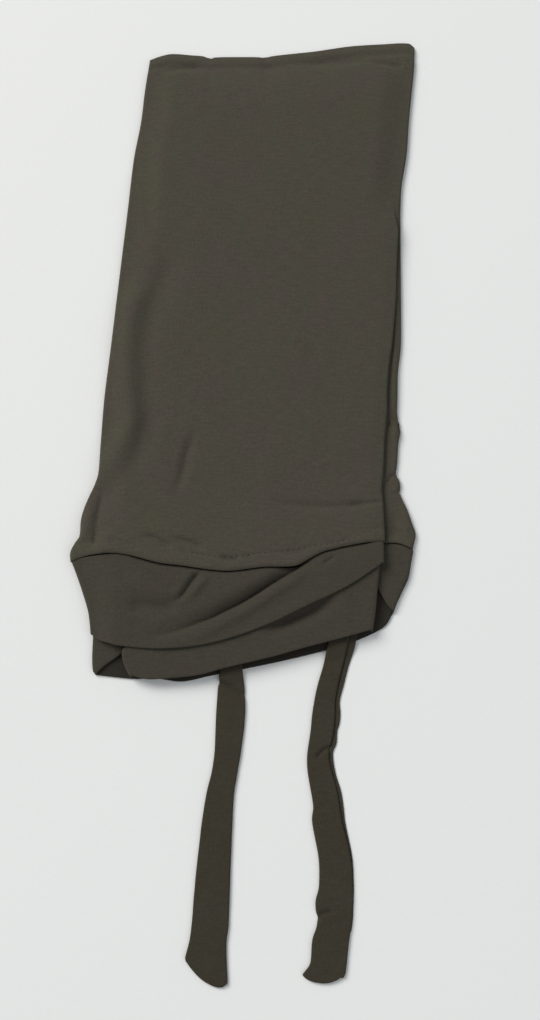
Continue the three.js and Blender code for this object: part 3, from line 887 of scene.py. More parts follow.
@dataclass
class Crown(Sheet):
    """The crown: one tube of jersey, open at the hem, with a pleat folded into its right side.

    Attributes:
        left_edge: X of its left edge, by y.
        right_edge: X of its outer right edge, by y.
        fold_edge: X of the front sheet's fold over the pleat, by y.
        end_line: Y of its closed end, by x.
        end_height: Height of the front sheet's middle, by the distance from that end.
        folds: The front sheet's folds, creases and dimples.
        panel_folds: The pleated side's folds.
        hem_lift: What the front sheet gains towards the hem, where two bands meet it.
        front_puff: How far it swells in its middle.
        edge_radius: Radius of the plain edges' soft roll, up the crown and at the hem.
        pleat_depth: Depth of the pleat at the hem and up the crown.
        pleat_run: Y over which the pleat runs out.
        left_run: Y of the left edge at the hem and at the closed end.
        right_run: Y of the right edge there.
        length: Length of the tube.
        lip: How far the cloth stands up along the hem, and how far its last millimetre sinks.
        allowance: What the seam allowance adds under the cloth.
        needle_line: How deep the line of needle holes sinks.
        swells: Heights of the wide swells and of the narrow ones.
        panel_lip: The lip's two measures on the pleated side.
        panel_valley: Depth of the pleated side beside the front sheet's edge.
        panel_line: How deep the line of needle holes sinks there.
        inside: How many rows before the closed end the inner face stops.
    """

    name: str = "crown_tube"
    node: str = "crown"
    flat: tuple[float, float] = (464, 372)
    area: float = 0.156
    slot: str = "crown_jersey"
    jersey: ViscoseJersey = CROWN_JERSEY
    wall: float = CROWN_WALL
    left_edge: Curve = Curve((
        (-60, -114.4), (-52, -115.1), (-47, -112.5), (-44, -109.7), (-33, -109.1), (-25, -107.2),
        (-18, -104.4), (-10, -100.8), (-3, -98.8), (15, -98.1), (50, -96.5), (86, -93.2),
        (138, -88.9), (189, -84.5), (227, -81.4), (255, -77.2), (280, -75), (304, -72.1),
    ))
    right_edge: Curve = Curve(tuple((y, outer) for y, outer, _ in RIGHT_SIDE))
    fold_edge: Curve = Curve(tuple((y, fold) for y, _, fold in RIGHT_SIDE))
    end_line: Curve = Curve((
        (-72, 304), (-65.8, 306.7), (-57, 309), (-41.5, 307.9), (-34, 307.1), (-29.6, 305.1),
        (-26, 306.3), (-5, 306.6), (5.8, 306.4), (9.2, 305.5), (13, 307), (24.7, 308.7),
        (44, 311), (56, 313), (70, 315.2), (92, 316.8), (111, 317.4), (115, 314),
    ))
    end_height: Curve = Curve((
        (0, 1.7), (4, 2.5), (8, 2.1), (12, 3.3), (18, 4.6), (27, 5.9), (40, 6.8),
    ))
    folds: tuple[Fold, ...] = (
        # dimples under the sewn end
        Fold(((-68, 300), (-60, 296), (-48, 297), (-38, 297.5), (-30, 294.5)), 2.8, -1.8),
        Fold(((3, 300), (9, 298.5), (14, 295.5), (20, 292)), 2.2, -1.2),
        Fold(((30, 299), (48, 300), (68, 301.5), (88, 303)), 3.4, -1.5),
        Fold(((82, 302), (92, 300), (100, 298.6), (110, 297)), 2.6, -1.8),
        # long soft creases down the left side
        Fold(((-84, 262), (-82, 231), (-78, 195)), 4.0, -0.9),
        Fold(((-73, 240), (-70, 200), (-66, 160)), 5.0, -0.9),
        Fold((
            (-52, 165), (-60, 132), (-70, 100), (-71, 56), (-68, 34), (-75, 10), (-84, -14),
        ), 9.0, -2.4, fade=0.2),
        Fold((
            (-73, 140), (-80, 110), (-82, 78), (-81, 56), (-78, 36), (-82, 20), (-90, 4),
            (-98, -20),
        ), 9.0, 4.0, fade=0.13),
        Fold(((-35, 30), (-38.5, 19), (-41.5, 9), (-44.5, -6), (-50.5, -22)), 3.4, -2.2),
        Fold(((-84, 20), (-90, -8), (-88, -32), (-80, -48)), 6.0, -1.0),
        # the fold that stands up towards the hem's left corner
        Fold(((-110, -56), (-105.5, -38), (-101, -12)), 3.2, 1.7),
        Fold(((-100, -54), (-98, -34), (-95, -8)), 2.2, -1.8, fade=0.25),
        # dimples that the hem's stitching pulls in
        Fold(((-72, -44), (-61.6, -44.8), (-54, -49), (-46, -51.5)), 2.0, -2.1),
        Fold(((-51, -45.5), (-42.8, -46.8), (-34.5, -49.3), (-27, -54)), 2.1, -2.1),
        Fold(((-19, -57), (-15, -58.6), (-10, -59.3), (-6, -58.8)), 1.1, -2.0, fade=0.25),
        Fold(((-4, -58), (-1, -57.7), (2, -57.6)), 1.0, -1.2),
        Fold(((10, -55), (23, -55.3), (31, -54.4), (41, -52)), 1.4, -0.9),
        Fold(((-99, -40), (-99, -46), (-98, -51)), 2.0, -1.0),
        # the crease that runs in from the pleat
        Fold(((10, -21), (28, -23), (48, -24.5), (67, -23), (86, -20.5)), 2.6, -1.3, fade=0.3),
        Fold(((62, -22.8), (74, -22.2), (87, -20.4)), 1.7, -1.1, fade=0.2),
    )
    panel_folds: tuple[Fold, ...] = (
        # crinkles of the pleated side beside the front sheet's edge
        Fold(((89, 30), (91, 35), (94, 37), (96.5, 35), (98, 26)), 1.3, -1.5, fade=0.15),
        Fold(((92, 26), (95, 28), (95, 20)), 2.6, 1.1),
        Fold(((88.5, -7), (90, -4.2), (92.7, -1.5), (96, -2.5)), 1.3, -1.5, fade=0.15),
        Fold(((92, -10), (94, -13)), 2.6, 0.9),
        Fold(((98, 150), (96.5, 100), (94.8, 60), (94, 42)), 1.8, 0.8, fade=0.15),
        Fold(((92, -24), (93, -35), (92.5, -46)), 2.2, -0.8),
        Fold(((99, -22), (101, -35), (101, -46)), 2.4, 0.9),
    )
    hem_lift: float = 1.7
    front_puff: float = 1.3
    edge_radius: tuple[float, float] = (1.25, 2.0)
    pleat_depth: tuple[float, float] = (7.0, 3.2)
    pleat_run: tuple[float, float] = (166.0, 199.0)
    left_run: tuple[float, float] = (-58.0, 304.0)
    right_run: tuple[float, float] = (-51.0, 316.0)
    length: float = 367.0
    lip: tuple[float, float] = (0.55, 0.45)
    allowance: float = 0.3
    needle_line: float = 0.35
    swells: tuple[float, float] = (0.22, 0.07)
    panel_lip: tuple[float, float] = (1.1, 0.4)
    panel_valley: float = 0.3
    panel_line: float = 0.25
    inside: int = 7

    def section(self, along: float) -> CrownSection:
        """Work out the places that shape one section.

        Args:
            along: Share of the way from the hem to the closed end.

        Returns:
            The section there.
        """
        left_y, right_y = mix(*self.left_run, along), mix(*self.right_run, along)
        from_end = (1 - along) * self.length
        half = self.wall / 2
        fold = float(self.fold_edge(right_y)) - half
        open_puff = 1 - 0.6 * smooth(left_y, 0, 120)
        return CrownSection(
            left=float(self.left_edge(left_y)) + half,
            right=float(self.right_edge(right_y)) - half,
            fold=fold,
            inner=fold - float(mix(*self.pleat_depth, smooth(right_y, 40, 150))),
            top=float(self.end_height(from_end) + self.hem_lift * smooth(-right_y, -5, 45)),
            edge_radius=float(mix(*self.edge_radius, smooth(-right_y, 10, 45))),
            puff=self.front_puff * float(open_puff * smooth(from_end, 20, 90)),
            pleat=1 - float(smooth(right_y, *self.pleat_run)),
        )

    def relief(self, x: Array, y: Array) -> Array:
        """Find how far the front sheet departs from its plain shape.

        Args:
            x: X of the points.
            y: Y of the points.

        Returns:
            The lift at each point.
        """
        above = y - HEM.front(x)
        stitched = y - HEM.stitching(x)
        (rise, sunk), (wide, narrow) = self.lip, self.swells
        lip = rise * (1 - smooth(above, 2, 9)) - sunk * (1 - smooth(above, 0, 1.5))
        doubled = self.allowance * (1 - smooth(stitched, -1.2, 0.6)) * smooth(above, 0.2, 2.5)
        line = -self.needle_line * bell(stitched, 0.9)
        swell = wide * ease(x, y, 64, 0.7) + narrow * ease(x, y, 17, 2.1)
        quiet = smooth(above, 4, 30) * smooth(self.end_line(x) - y, 6, 30)
        return lift_of(self.folds, x, y) + (doubled + lip) + line + swell * quiet

    def panel_relief(self, x: Array, y: Array, z: Array) -> Array:
        """Find how far the pleated side that shows beside the front sheet departs from level.

        Args:
            x: X of the points.
            y: Y of the points.
            z: Z of the points, which tells the pleat's layers apart.

        Returns:
            The lift at each point, which is 0 off that panel.
        """
        above = y - HEM.front(x)
        beside = x - self.fold_edge(y)
        on_panel = smooth(z, 2.2, 2.5) * (1 - smooth(z, 2.7, 3.1)) * smooth(beside, -1.5, 0.5)
        rise, sunk = self.panel_lip
        lip = rise * (1 - smooth(above, 1, 7)) - sunk * (1 - smooth(above, 0, 1.3))
        valley = -self.panel_valley * bell(beside - 0.6, 1.2) * smooth(above, 1, 8)
        line = -self.panel_line * bell(y - HEM.stitching(x), 1.0)
        return on_panel * (lip + valley + line + lift_of(self.panel_folds, x, y))

    def places(self) -> Array:
        """Place the rows, closer together at the hem and the end.

        Returns:
            Their shares of the way from the hem to the closed end.
        """
        runs = (
            np.arange(0, 4, 0.5), np.arange(4, 48, 1.2), np.arange(48, 325, 3.4),
            np.arange(325, self.length, 1.2),
        )
        return np.append(np.concatenate(runs) / self.length, 1.0)

    def grid(self) -> Array:
        """Lay out the wall's middle as rows of sections.

        Returns:
            Rows by columns by x, y and z, in millimetres.
        """
        back, side, front, roll, blend = 60, 50, 160, 12, 10
        rows = []
        for along in self.places():
            x, z = self.section(along).ring(back, side, front, roll).T
            end = self.end_line(x) - CROWN_WALL
            y = mix(HEM.y(x, z) + (SEAM_GAP + CROWN_WALL) / 2, end, along)
            on_front = np.zeros(len(x))
            on_front[back + side : -roll] = 1.0
            on_front[back + side - blend : back + side] = np.linspace(0, 1, blend)
            on_front[-roll:] = np.linspace(1, 0, roll)
            on_side = np.zeros(len(x))
            on_side[back : back + side] = 1.0
            lift = self.relief(x, y) * on_front + self.panel_relief(x, y, z) * on_side
            rows.append(np.column_stack((x, y, z + lift)))
        return np.stack(rows)

    def top_at(self, x: float, y: float) -> float:
        """Find the height of the cloth that shows at a point on the front.

        Args:
            x: X of the point.
            y: Y of the point.

        Returns:
            The height of the front sheet's upper face, or of the panel's beside it.
        """
        seam, end = float(HEM.front(x)), float(self.end_line(x))
        cut = self.section((y - seam) / (end - seam))
        if x <= cut.fold - cut.fold_radius:
            return float(cut.front(x) + self.relief(x, y)) + CROWN_WALL / 2
        middle = cut.floor + LAYER_STEP
        return middle + float(self.panel_relief(x, y, middle)) + CROWN_WALL / 2

    def cloth(self) -> Cloth:
        """Return its wall of cloth, which is a pocket."""
        return Cloth(self.name, self.grid(), self.wall / 2, ring=True, stop=self.inside)


@dataclass
class HemStitches:
    """The short stitches that show along the crown's hem, one in each pair of needle holes.

    Attributes:
        crown: The crown that they are sewn through.
        pull: How plainly they stand out of the cloth, from 0 to 1, by x.
        run: X of the first stitch, and where they stop.
        hidden: X between which the front sheet's fold hides them.
        pitch: Distance from one stitch to the next.
        length: Length of a stitch.
        radius: Radius of the thread.
        sunk: How deep a stitch lies in the cloth.
        pulled_out: How much of that a plain stitch wins back.
        bow: Height of a stitch's middle, and how far its ends lie below that.
        taper: How far the ends are thinner, as a share of the thread's section.
        sides: Number of sides of a stitch's bar.
        rings: Number of rings of points along it.
    """

    crown: Crown
    pull: Curve = Curve(((-110, 0.2), (-60, 0.4), (-18, 1), (60, 1), (75, 0.3), (100, 0)))
    run: tuple[float, float] = (-108.0, 102.0)
    hidden: tuple[float, float] = (82.5, 89.0)
    pitch: float = 3.6
    length: float = 2.1
    radius: float = 0.27
    sunk: float = 0.16
    pulled_out: float = 0.15
    bow: tuple[float, float] = (0.12, 0.32)
    taper: float = 0.9
    sides: int = 6
    rings: int = 5

    def build(self) -> Piece:
        """Make all the stitches as one mesh and dress them.

        Returns:
            The mesh object.
        """
        points, faces = [], []
        x, last = self.run
        while x < last:
            y = float(HEM.stitching(x))
            slope = float(HEM.stitching(x + 0.5) - HEM.stitching(x - 0.5))
            way = unit(np.array((1.0, slope)))
            if not self.hidden[0] < x < self.hidden[1]:
                top = self.crown.top_at(x, y)
                height = top - self.sunk + self.pulled_out * float(self.pull(x))
                self.add(points, faces, np.array((x, y, height)), way)
            x += self.pitch * way[0]
        mesh = bpy.data.meshes.new("hem_stitches")
        mesh.from_pydata((np.concatenate(points) * MM).tolist(), [], faces)
        mesh.shade_smooth()
        piece = bpy.data.objects.new("hem_stitches", mesh)
        bpy.context.scene.collection.objects.link(piece)
        mesh.materials.append(THREAD.material())
        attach(piece, "root")
        LOG.info("%s: %d faces", piece.name, len(mesh.polygons))
        return piece

    def add(self, points: list[Array], faces: list[list[int]], place: Array, way: Array) -> None:
        """Add one stitch: a short bowed bar with tapered ends.

        Args:
            points: The mesh's points so far.
            faces: The mesh's faces so far.
            place: The middle of the stitch on the cloth.
            way: Its direction, in x and y.
        """
        around = 2.0 * np.pi * np.arange(self.sides)[:, None] / self.sides
        sideways, up = np.array((-way[1], way[0], 0.0)), np.array((0.0, 0.0, 1.0))
        first = sum(len(p) for p in points)
        middle, below = self.bow
        for span in np.linspace(-1, 1, self.rings):
            size = self.radius * math.sqrt(1 - span**2 * self.taper)
            centre = place + np.append(way * span * self.length / 2, middle - below * span**2)
            points.append(centre + size * (np.cos(around) * sideways + np.sin(around) * up))
        last = first + self.sides * (self.rings - 1)
        for row in range(first, last, self.sides):
            for i in range(self.sides):
                a, b = row + i, row + (i + 1) % self.sides
                faces.append([a, b, b + self.sides, a + self.sides])
        faces.append(list(reversed(range(first, first + self.sides))))
        faces.append(list(range(last, last + self.sides)))


@dataclass
class NapeBand(Sheet):
    """The nape band: the lowest layer, whose ends turn up and in over the face opening's sides.

    Attributes:
        left_edge: X of its left fold, by y.
        right_edge: X of its right fold, by y.
        lower_edge: Y of its free edge on the floor, by x.
        left_free: Y of the turned-up left end's free edge, by x.
        right_free: Y of the turned-up right end's free edge, by x.
        left_run: Y of the left fold at the seam and at the free edge.
        right_run: Y of the right fold there.
        depth: Depth of the band.
        drawn: How far the seam draws the turned-up ends down.
    """

    name: str = "nape_band_cloth"
    node: str = "nape_band"
    flat: tuple[float, float] = (290, 80)
    area: float = 0.0205
    rests: tuple[str, ...] = ("crown",)
    # Its inner face, seen under the upper layers, takes a darker finish that is painted shade.
    shade_painted: ViscoseJersey | None = NAPE_PAINTED_SHADE
    left_edge: Curve = Curve((
        (-60, -111.5), (-68, -108.5), (-80, -104.3), (-91, -100.9), (-102, -99), (-121, -99),
        (-129, -98.3), (-131, -97),
    ))
    right_edge: Curve = Curve((
        (-51, 104.7), (-59, 103.1), (-69, 101.1), (-76, 97.8), (-84, 94), (-90, 91.5),
    ))
    lower_edge: Curve = Curve((
        (-97, -131), (-72, -133.5), (-60, -133), (-43, -135.1), (-25, -131.5), (-3.5, -127.1),
        (19, -122.4), (47.5, -115.4), (68, -108.9), (81.5, -102.8), (87, -98.5), (91, -91),
    ))
    left_free: Curve = Curve((
        (-97, -131), (-91.4, -125.6), (-84.3, -120.5), (-75.8, -113.6), (-60, -101),
    ))
    right_free: Curve = Curve(((79, -72.6), (82.4, -77.9), (87.1, -86), (91, -90.5)))
    left_run: tuple[float, float] = (-60.0, -131.0)
    right_run: tuple[float, float] = (-51.0, -90.0)
    depth: float = 60.0
    drawn: float = 0.55

    def path(self, along: float) -> Array:
        """Follow one section, from its hidden left end round both folds to the right one.

        Args:
            along: Share of the way from the seam to the free edge.

        Returns:
            An array of x and z, one row for each point.
        """
        floor = BAND_WALL / 2
        turned, middle = floor + LAYER_STEP, floor + FOLD_RADIUS
        inset = BAND_WALL / 2 + FOLD_RADIUS
        left = float(self.left_edge(mix(*self.left_run, along))) + inset
        right = float(self.right_edge(mix(*self.right_run, along))) - inset
        return np.concatenate((
            level(LEFT_INNER_FOLD, left, turned, 24),
            arc(left, middle, FOLD_RADIUS, 90, 270, 12),
            level(left, right, floor, 120),
            arc(right, middle, FOLD_RADIUS, -90, 90, 12),
            level(right, RIGHT_INNER_FOLD, turned, 14),
            [(RIGHT_INNER_FOLD, turned)],
        ))

    def grid(self) -> Array:
        """Lay out the wall's middle as rows of sections.

        Returns:
            Rows by columns by x, y and z, in millimetres.
        """
        rows = []
        for along in row_places(fine=3, step=0.5, depth=self.depth, count=42):
            x, z = self.path(along).T
            free = np.where(x < 0, self.left_free(x), self.right_free(x))
            lower = mix(self.lower_edge(x), free, smooth(z, BAND_WALL, BAND_WALL + GAP))
            y = mix(HEM.band_y(x, z), lower, along)
            drawn = self.drawn * (1 - smooth(HEM.front(x) - y, 0.3, 2.6))
            soft = (0.12 * ease(x, y, 30, 1.3) - drawn) * smooth(z, 2.0, 2.8)
            rows.append(np.column_stack((x, y, z + soft)))
        return np.stack(rows)


@dataclass(frozen=True)
class Crossing:
    """How both front bands sink together where the over band lies on the under band.

    Attributes:
        groove: Y of the long fold that crosses them, by x.
        depth: How deep the fold sinks, by x.
        creases: The shorter folds and dimples that both bands share.
        slope: Width and steepness of the groove's long side.
        bank: Distances below the groove between which it rises again.
        drawn: How far the seam draws the bands down, close to it and more widely.
        left_end: X between which the left end's share fades in.
        right_end: X between which the right end's share fades out.
        roll_place: Distance of the roll below the groove, and its half width.
        roll_share: Height of the roll, as a share of the groove's depth.
        slant: Share of a distance along y that goes across the groove.
        apart: Least distance between the middles of the two walls.
    """

    groove: Curve = Curve((
        (-62, -109), (-42, -103), (-33, -99.5), (-24, -96), (-15.4, -91.5), (-6.5, -87), (4, -80.7),
        (14.3, -73.8), (23.3, -68.3), (35.3, -60.1),
    ))
    depth: Curve = Curve((
        (-66, 0), (-50, 1.6), (-33, 3.6), (-15, 5.2), (4, 5.7), (20, 5.4), (29, 3.8), (36, 1.2),
        (41, 0),
    ))
    creases: tuple[Fold, ...] = (
        Fold((
            (-29, -66), (-34.9, -70.9), (-38.6, -76.2), (-42.2, -81.5), (-48, -88),
        ), 2.1, -3.0, fade=0.25),
        Fold(((-67, -65), (-58, -71), (-50, -76.5), (-43, -79)), 3.0, -1.1),
        Fold(((-88, -87), (-74, -89), (-60, -90), (-50, -90), (-40, -87)), 4.6, -2.1),
        Fold(((45, -62.5), (50, -60), (56, -56.5)), 1.6, -1.2),
    )
    slope: tuple[float, float] = (9.5, 2.2)
    bank: tuple[float, float] = (0.5, 4.0)
    drawn: tuple[float, float] = (1.0, 0.3)
    left_end: tuple[float, float] = (-80.0, -70.0)
    right_end: tuple[float, float] = (72.0, 81.0)
    roll_place: tuple[float, float] = (7.0, 3.6)
    roll_share: float = 0.27
    slant: float = 0.85
    apart: float = BAND_WALL + GAP

    def below(self, x: Array, y: Array) -> Array:
        """Return how far points lie on the ties' side of the groove."""
        return (self.groove(x) - y) * self.slant

    def sink(self, x: Array, y: Array) -> Array:
        """Return the lift that both bands share, which is negative nearly everywhere.

        Args:
            x: X of the points.
            y: Y of the points.

        Returns:
            The lift at each point. It fades out where the bands' ends are folded.
        """
        below, from_seam = self.below(x, y), HEM.front(x) - y
        (width, power), (close, wide) = self.slope, self.drawn
        valley = np.clip(1 + below / width, 0, 1) ** power * (1 - smooth(below, *self.bank))
        drawn = close * (1 - smooth(from_seam, 0.2, 3.4)) + wide * (1 - smooth(from_seam, 0, 8))
        middle = smooth(x, *self.left_end) * (1 - smooth(x, *self.right_end))
        return middle * (lift_of(self.creases, x, y) - self.depth(x) * valley - drawn)

    def under(self, x: Array, y: Array) -> Array:
        """Return the under band's lift: the over band's, sunk where a slope brings them close.

        Args:
            x: X of the points.
            y: Y of the points.

        Returns:
            The height that a ball as wide as the bands' distance leaves under the sheet.
        """
        lowest = self.sink(x, y)
        for share in (0.5, 0.75, 0.93):
            reach, room = share * self.apart, self.apart * (1 - math.sqrt(1 - share**2))
            for turn in np.radians(np.arange(0, 360, 45)):
                beside = self.sink(x + reach * math.cos(turn), y + reach * math.sin(turn))
                lowest = np.minimum(lowest, beside + room)
        return lowest

    def roll(self, x: Array, y: Array) -> Array:
        """Return the lift of the over band's soft roll below the groove."""
        place, width = self.roll_place
        return self.roll_share * self.depth(x) * bell(self.below(x, y) - place, width)


CROSSING = Crossing()


@dataclass
class UnderBand(Sheet):
    """The under band: the lower front band, whose ends are folded under into the side pleats.

    Attributes:
        left_edge: X of its left fold, by y.
        right_edge: X of its right fold, by y.
        lower_edge: Y of its free edge, by x.
        returns: X at which the folded right end stops, at the seam and at the free edge.
        folds: Its folds and dimples.
        left_run: Y of the left fold at the seam and at the free edge.
        right_run: Y of the right fold there.
        ends: X between which its middle swells.
        swell: Height of that swell.
        dip: How much lower it lies at the seam.
        depth: Depth of the band.
    """

    name: str = "under_band_cloth"
    node: str = "under_band"
    flat: tuple[float, float] = (200, 78)
    area: float = 0.0130
    rests: tuple[str, ...] = ("nape_band", "crown")
    left_edge: Curve = Curve((
        (-60, -82), (-105, -76.5), (-113, -75.5), (-118, -79.8), (-124, -79.2), (-128, -77.4),
        (-131.5, -75),
    ))
    right_edge: Curve = Curve(((-47, 83.6), (-63, 82.5), (-79, 80.8), (-94, 79.1), (-103, 77.5)))
    lower_edge: Curve = Curve((
        (-79, -130.5), (-74, -132), (-65, -134.5), (-57, -134.5), (-32, -132), (-16, -127.7),
        (15, -120.2), (33, -115.1), (61, -107.7), (77.5, -103),
    ))
    returns: tuple[float, float] = (RIGHT_INNER_FOLD, 70.0)
    folds: tuple[Fold, ...] = (
        Fold((
            (4, -106), (14, -102), (26, -97), (37, -92), (48, -87), (58, -81.5),
        ), 5.6, -4.4, fade=0.4),
    )
    left_run: tuple[float, float] = (-60.0, -131.5)
    right_run: tuple[float, float] = (-47.0, -103.0)
    ends: tuple[float, float] = (-80.0, 82.0)
    swell: float = 1.3
    dip: float = 0.6
    depth: float = 68.0

    def height(self, x: Array | float, along: Array | float) -> Array:
        """Find how high the band's middle lies: it dips at the seam and swells mid-way.

        Args:
            x: X of the points.
            along: Share of the way from the seam to the free edge.

        Returns:
            The height at each point.
        """
        left, right = self.ends
        u = np.clip((x - left) / (right - left), 0, 1)
        dip = self.dip * (1 - smooth(along, 0, 0.2))
        level_height = self.wall / 2 + 3 * LAYER_STEP
        return level_height - dip + self.swell * 4 * u * (1 - u) * (1 - 0.4 * along)

    def grid(self) -> Array:
        """Lay out the wall's middle as rows of sections.

        Returns:
            Rows by columns by x, y and z, in millimetres.
        """
        half, folded = self.wall / 2, self.wall / 2 + 2 * LAYER_STEP
        turn, front = 12, 120  # points round a fold and points across the front
        rows = []
        for along in row_places(fine=4, step=0.5, depth=self.depth, count=54):
            left_radius, right_radius = (
                float(self.height(x, along) - folded) / 2 for x in self.ends
            )
            left = float(self.left_edge(mix(*self.left_run, along))) + half + left_radius
            right = float(self.right_edge(mix(*self.right_run, along))) - half - right_radius
            sheet = np.linspace(right, left, front, endpoint=False)
            end = level(mix(*self.returns, along), right, folded, 6)
            path = np.concatenate((
                end,
                arc(right, folded + right_radius, right_radius, -90, 90, turn),
                np.column_stack((sheet, self.height(sheet, along))),
                arc(left, folded + left_radius, left_radius, 90, 270, turn),
                level(left, LEFT_INNER_FOLD, folded, 8),
                [(LEFT_INNER_FOLD, folded)],
            ))
            x, z = path.T
            inside_left = self.lower_edge(left) + 0.8 * (x - left)
            inside_right = self.lower_edge(right) + right - x
            hidden = np.where(x < 0, inside_left, inside_right)
            lower = mix(hidden, self.lower_edge(x), smooth(z, folded, folded + 1.4))
            y = mix(HEM.band_y(x, z), lower, along)
            soft = lift_of(self.folds, x, y) + 0.05 * ease(x, y, 34, 0.4)
            column = np.arange(len(x)) - len(end) - turn
            on_front = smooth(np.minimum(column, front - 1 - column), 0, 8)
            # The shared sink runs out round the tops of both folds.
            carried = np.interp(column, (-turn, -1, front, front + turn - 1), (0, 1, 1, 0))
            shared = CROSSING.under(x, y) * carried
            rows.append(np.column_stack((x, y, z + soft * on_front + shared)))
        return np.stack(rows)


@dataclass
class OverBand(Sheet):
    """The over band: it crosses the under band from the left, and hooks round its right end.

    Attributes:
        left_edge: X of its left edge, by y.
        lower_edge: Y of its free edge, by x.
        folds: Its own ridges, beside those that it shares with the under band.
        under: The band that it lies on.
        left_run: Y of the left edge at the seam and at the free edge.
        right: X where its right end turns down.
        corner: Radius of the turns at both ends.
        hook: Depth of the right end's hook.
        foot: Height at which the left end stops above the floor.
        lift: What it gains above the under band away from the seam.
        climbed: X at which its left end has climbed onto the under band.
        depth: Depth of the band.
    """

    name: str = "over_band_cloth"
    node: str = "over_band"
    flat: tuple[float, float] = (210, 60)
    area: float = 0.0095
    rests: tuple[str, ...] = ("under_band", "nape_band")
    left_edge: Curve = Curve((
        (-59, -113.6), (-68, -110.2), (-80, -106), (-91, -102.6), (-102, -100.7), (-106, -100.3),
    ))
    lower_edge: Curve = Curve((
        (-100.3, -105), (-95.5, -109.2), (-89.7, -111.4), (-82.4, -113.6), (-57, -115.7),
        (-32, -113.7), (-8, -107.7), (15, -98.8), (39, -87.1), (61, -76.3), (79, -64.4),
        (85.5, -59.5),
    ))
    folds: tuple[Fold, ...] = (
        Fold(((-24, -69), (-30, -74), (-34.5, -80), (-38, -87)), 2.4, 1.4),
        Fold(((-92, -72), (-74, -76), (-56, -81), (-46, -84)), 5.0, 0.8),
        Fold(((10, -99), (24, -93), (38, -86), (50, -80)), 4.0, 0.8),
    )
    under: UnderBand = field(default_factory=UnderBand)
    left_run: tuple[float, float] = (-59.0, -105.0)
    right: float = 83.4
    corner: float = 1.3
    hook: float = 3.4
    foot: float = 1.2
    lift: float = 0.3
    climbed: float = -84.0
    depth: float = 54.0

    def grid(self) -> Array:
        """Lay out the wall's middle as rows of sections.

        Returns:
            Rows by columns by x, y and z, in millimetres.
        """
        resting_left = 1.5 * self.wall + LAYER_STEP + GAP
        rows = []
        for along in row_places(fine=3.5, step=0.35, depth=self.depth, count=70):
            left = float(self.left_edge(mix(*self.left_run, along))) + self.wall / 2 + self.corner
            sheet = np.linspace(self.right, left, 176)
            seam, lower = HEM.band_y(sheet, HEM.turn[1]), self.lower_edge(sheet)
            y = mix(seam, lower, along)
            under_along = along * np.clip((seam - lower) / self.under.depth, 0.2, 1)
            rest = self.under.height(sheet, under_along) + self.wall + GAP
            lift = self.lift * smooth(along, 0, 0.25)
            height = mix(resting_left, rest + lift, smooth(sheet, left, self.climbed))
            body = smooth(along, 0, 0.15)
            edges = smooth(np.minimum(sheet - left, self.right - sheet), 0, 8)
            soft = lift_of(self.folds, sheet, y) + 0.12 * ease(sheet, y, 30, 2.2)
            soft = soft + CROSSING.roll(sheet, y)
            height = height + CROSSING.sink(sheet, y) + soft * edges * body
            right_x, right_z = self.right + self.corner, height[0]
            left_x, left_z = left - self.corner, height[-1] - self.corner
            path = np.concatenate((
                [(right_x, right_z - self.hook * share) for share in (1.0, 0.7)],
                arc(self.right, right_z - self.corner, self.corner, 0, 90, 8),
                np.column_stack((sheet, height))[:-1],
                arc(left, left_z, self.corner, 90, 180, 8),
                np.column_stack((np.full(5, left_x), np.linspace(left_z, self.foot, 5))),
            ))
            x, z = path.T
            place = mix(HEM.band_y(x, z), self.lower_edge(x), along)
            rows.append(np.column_stack((x, place, z)))
        return np.stack(rows)


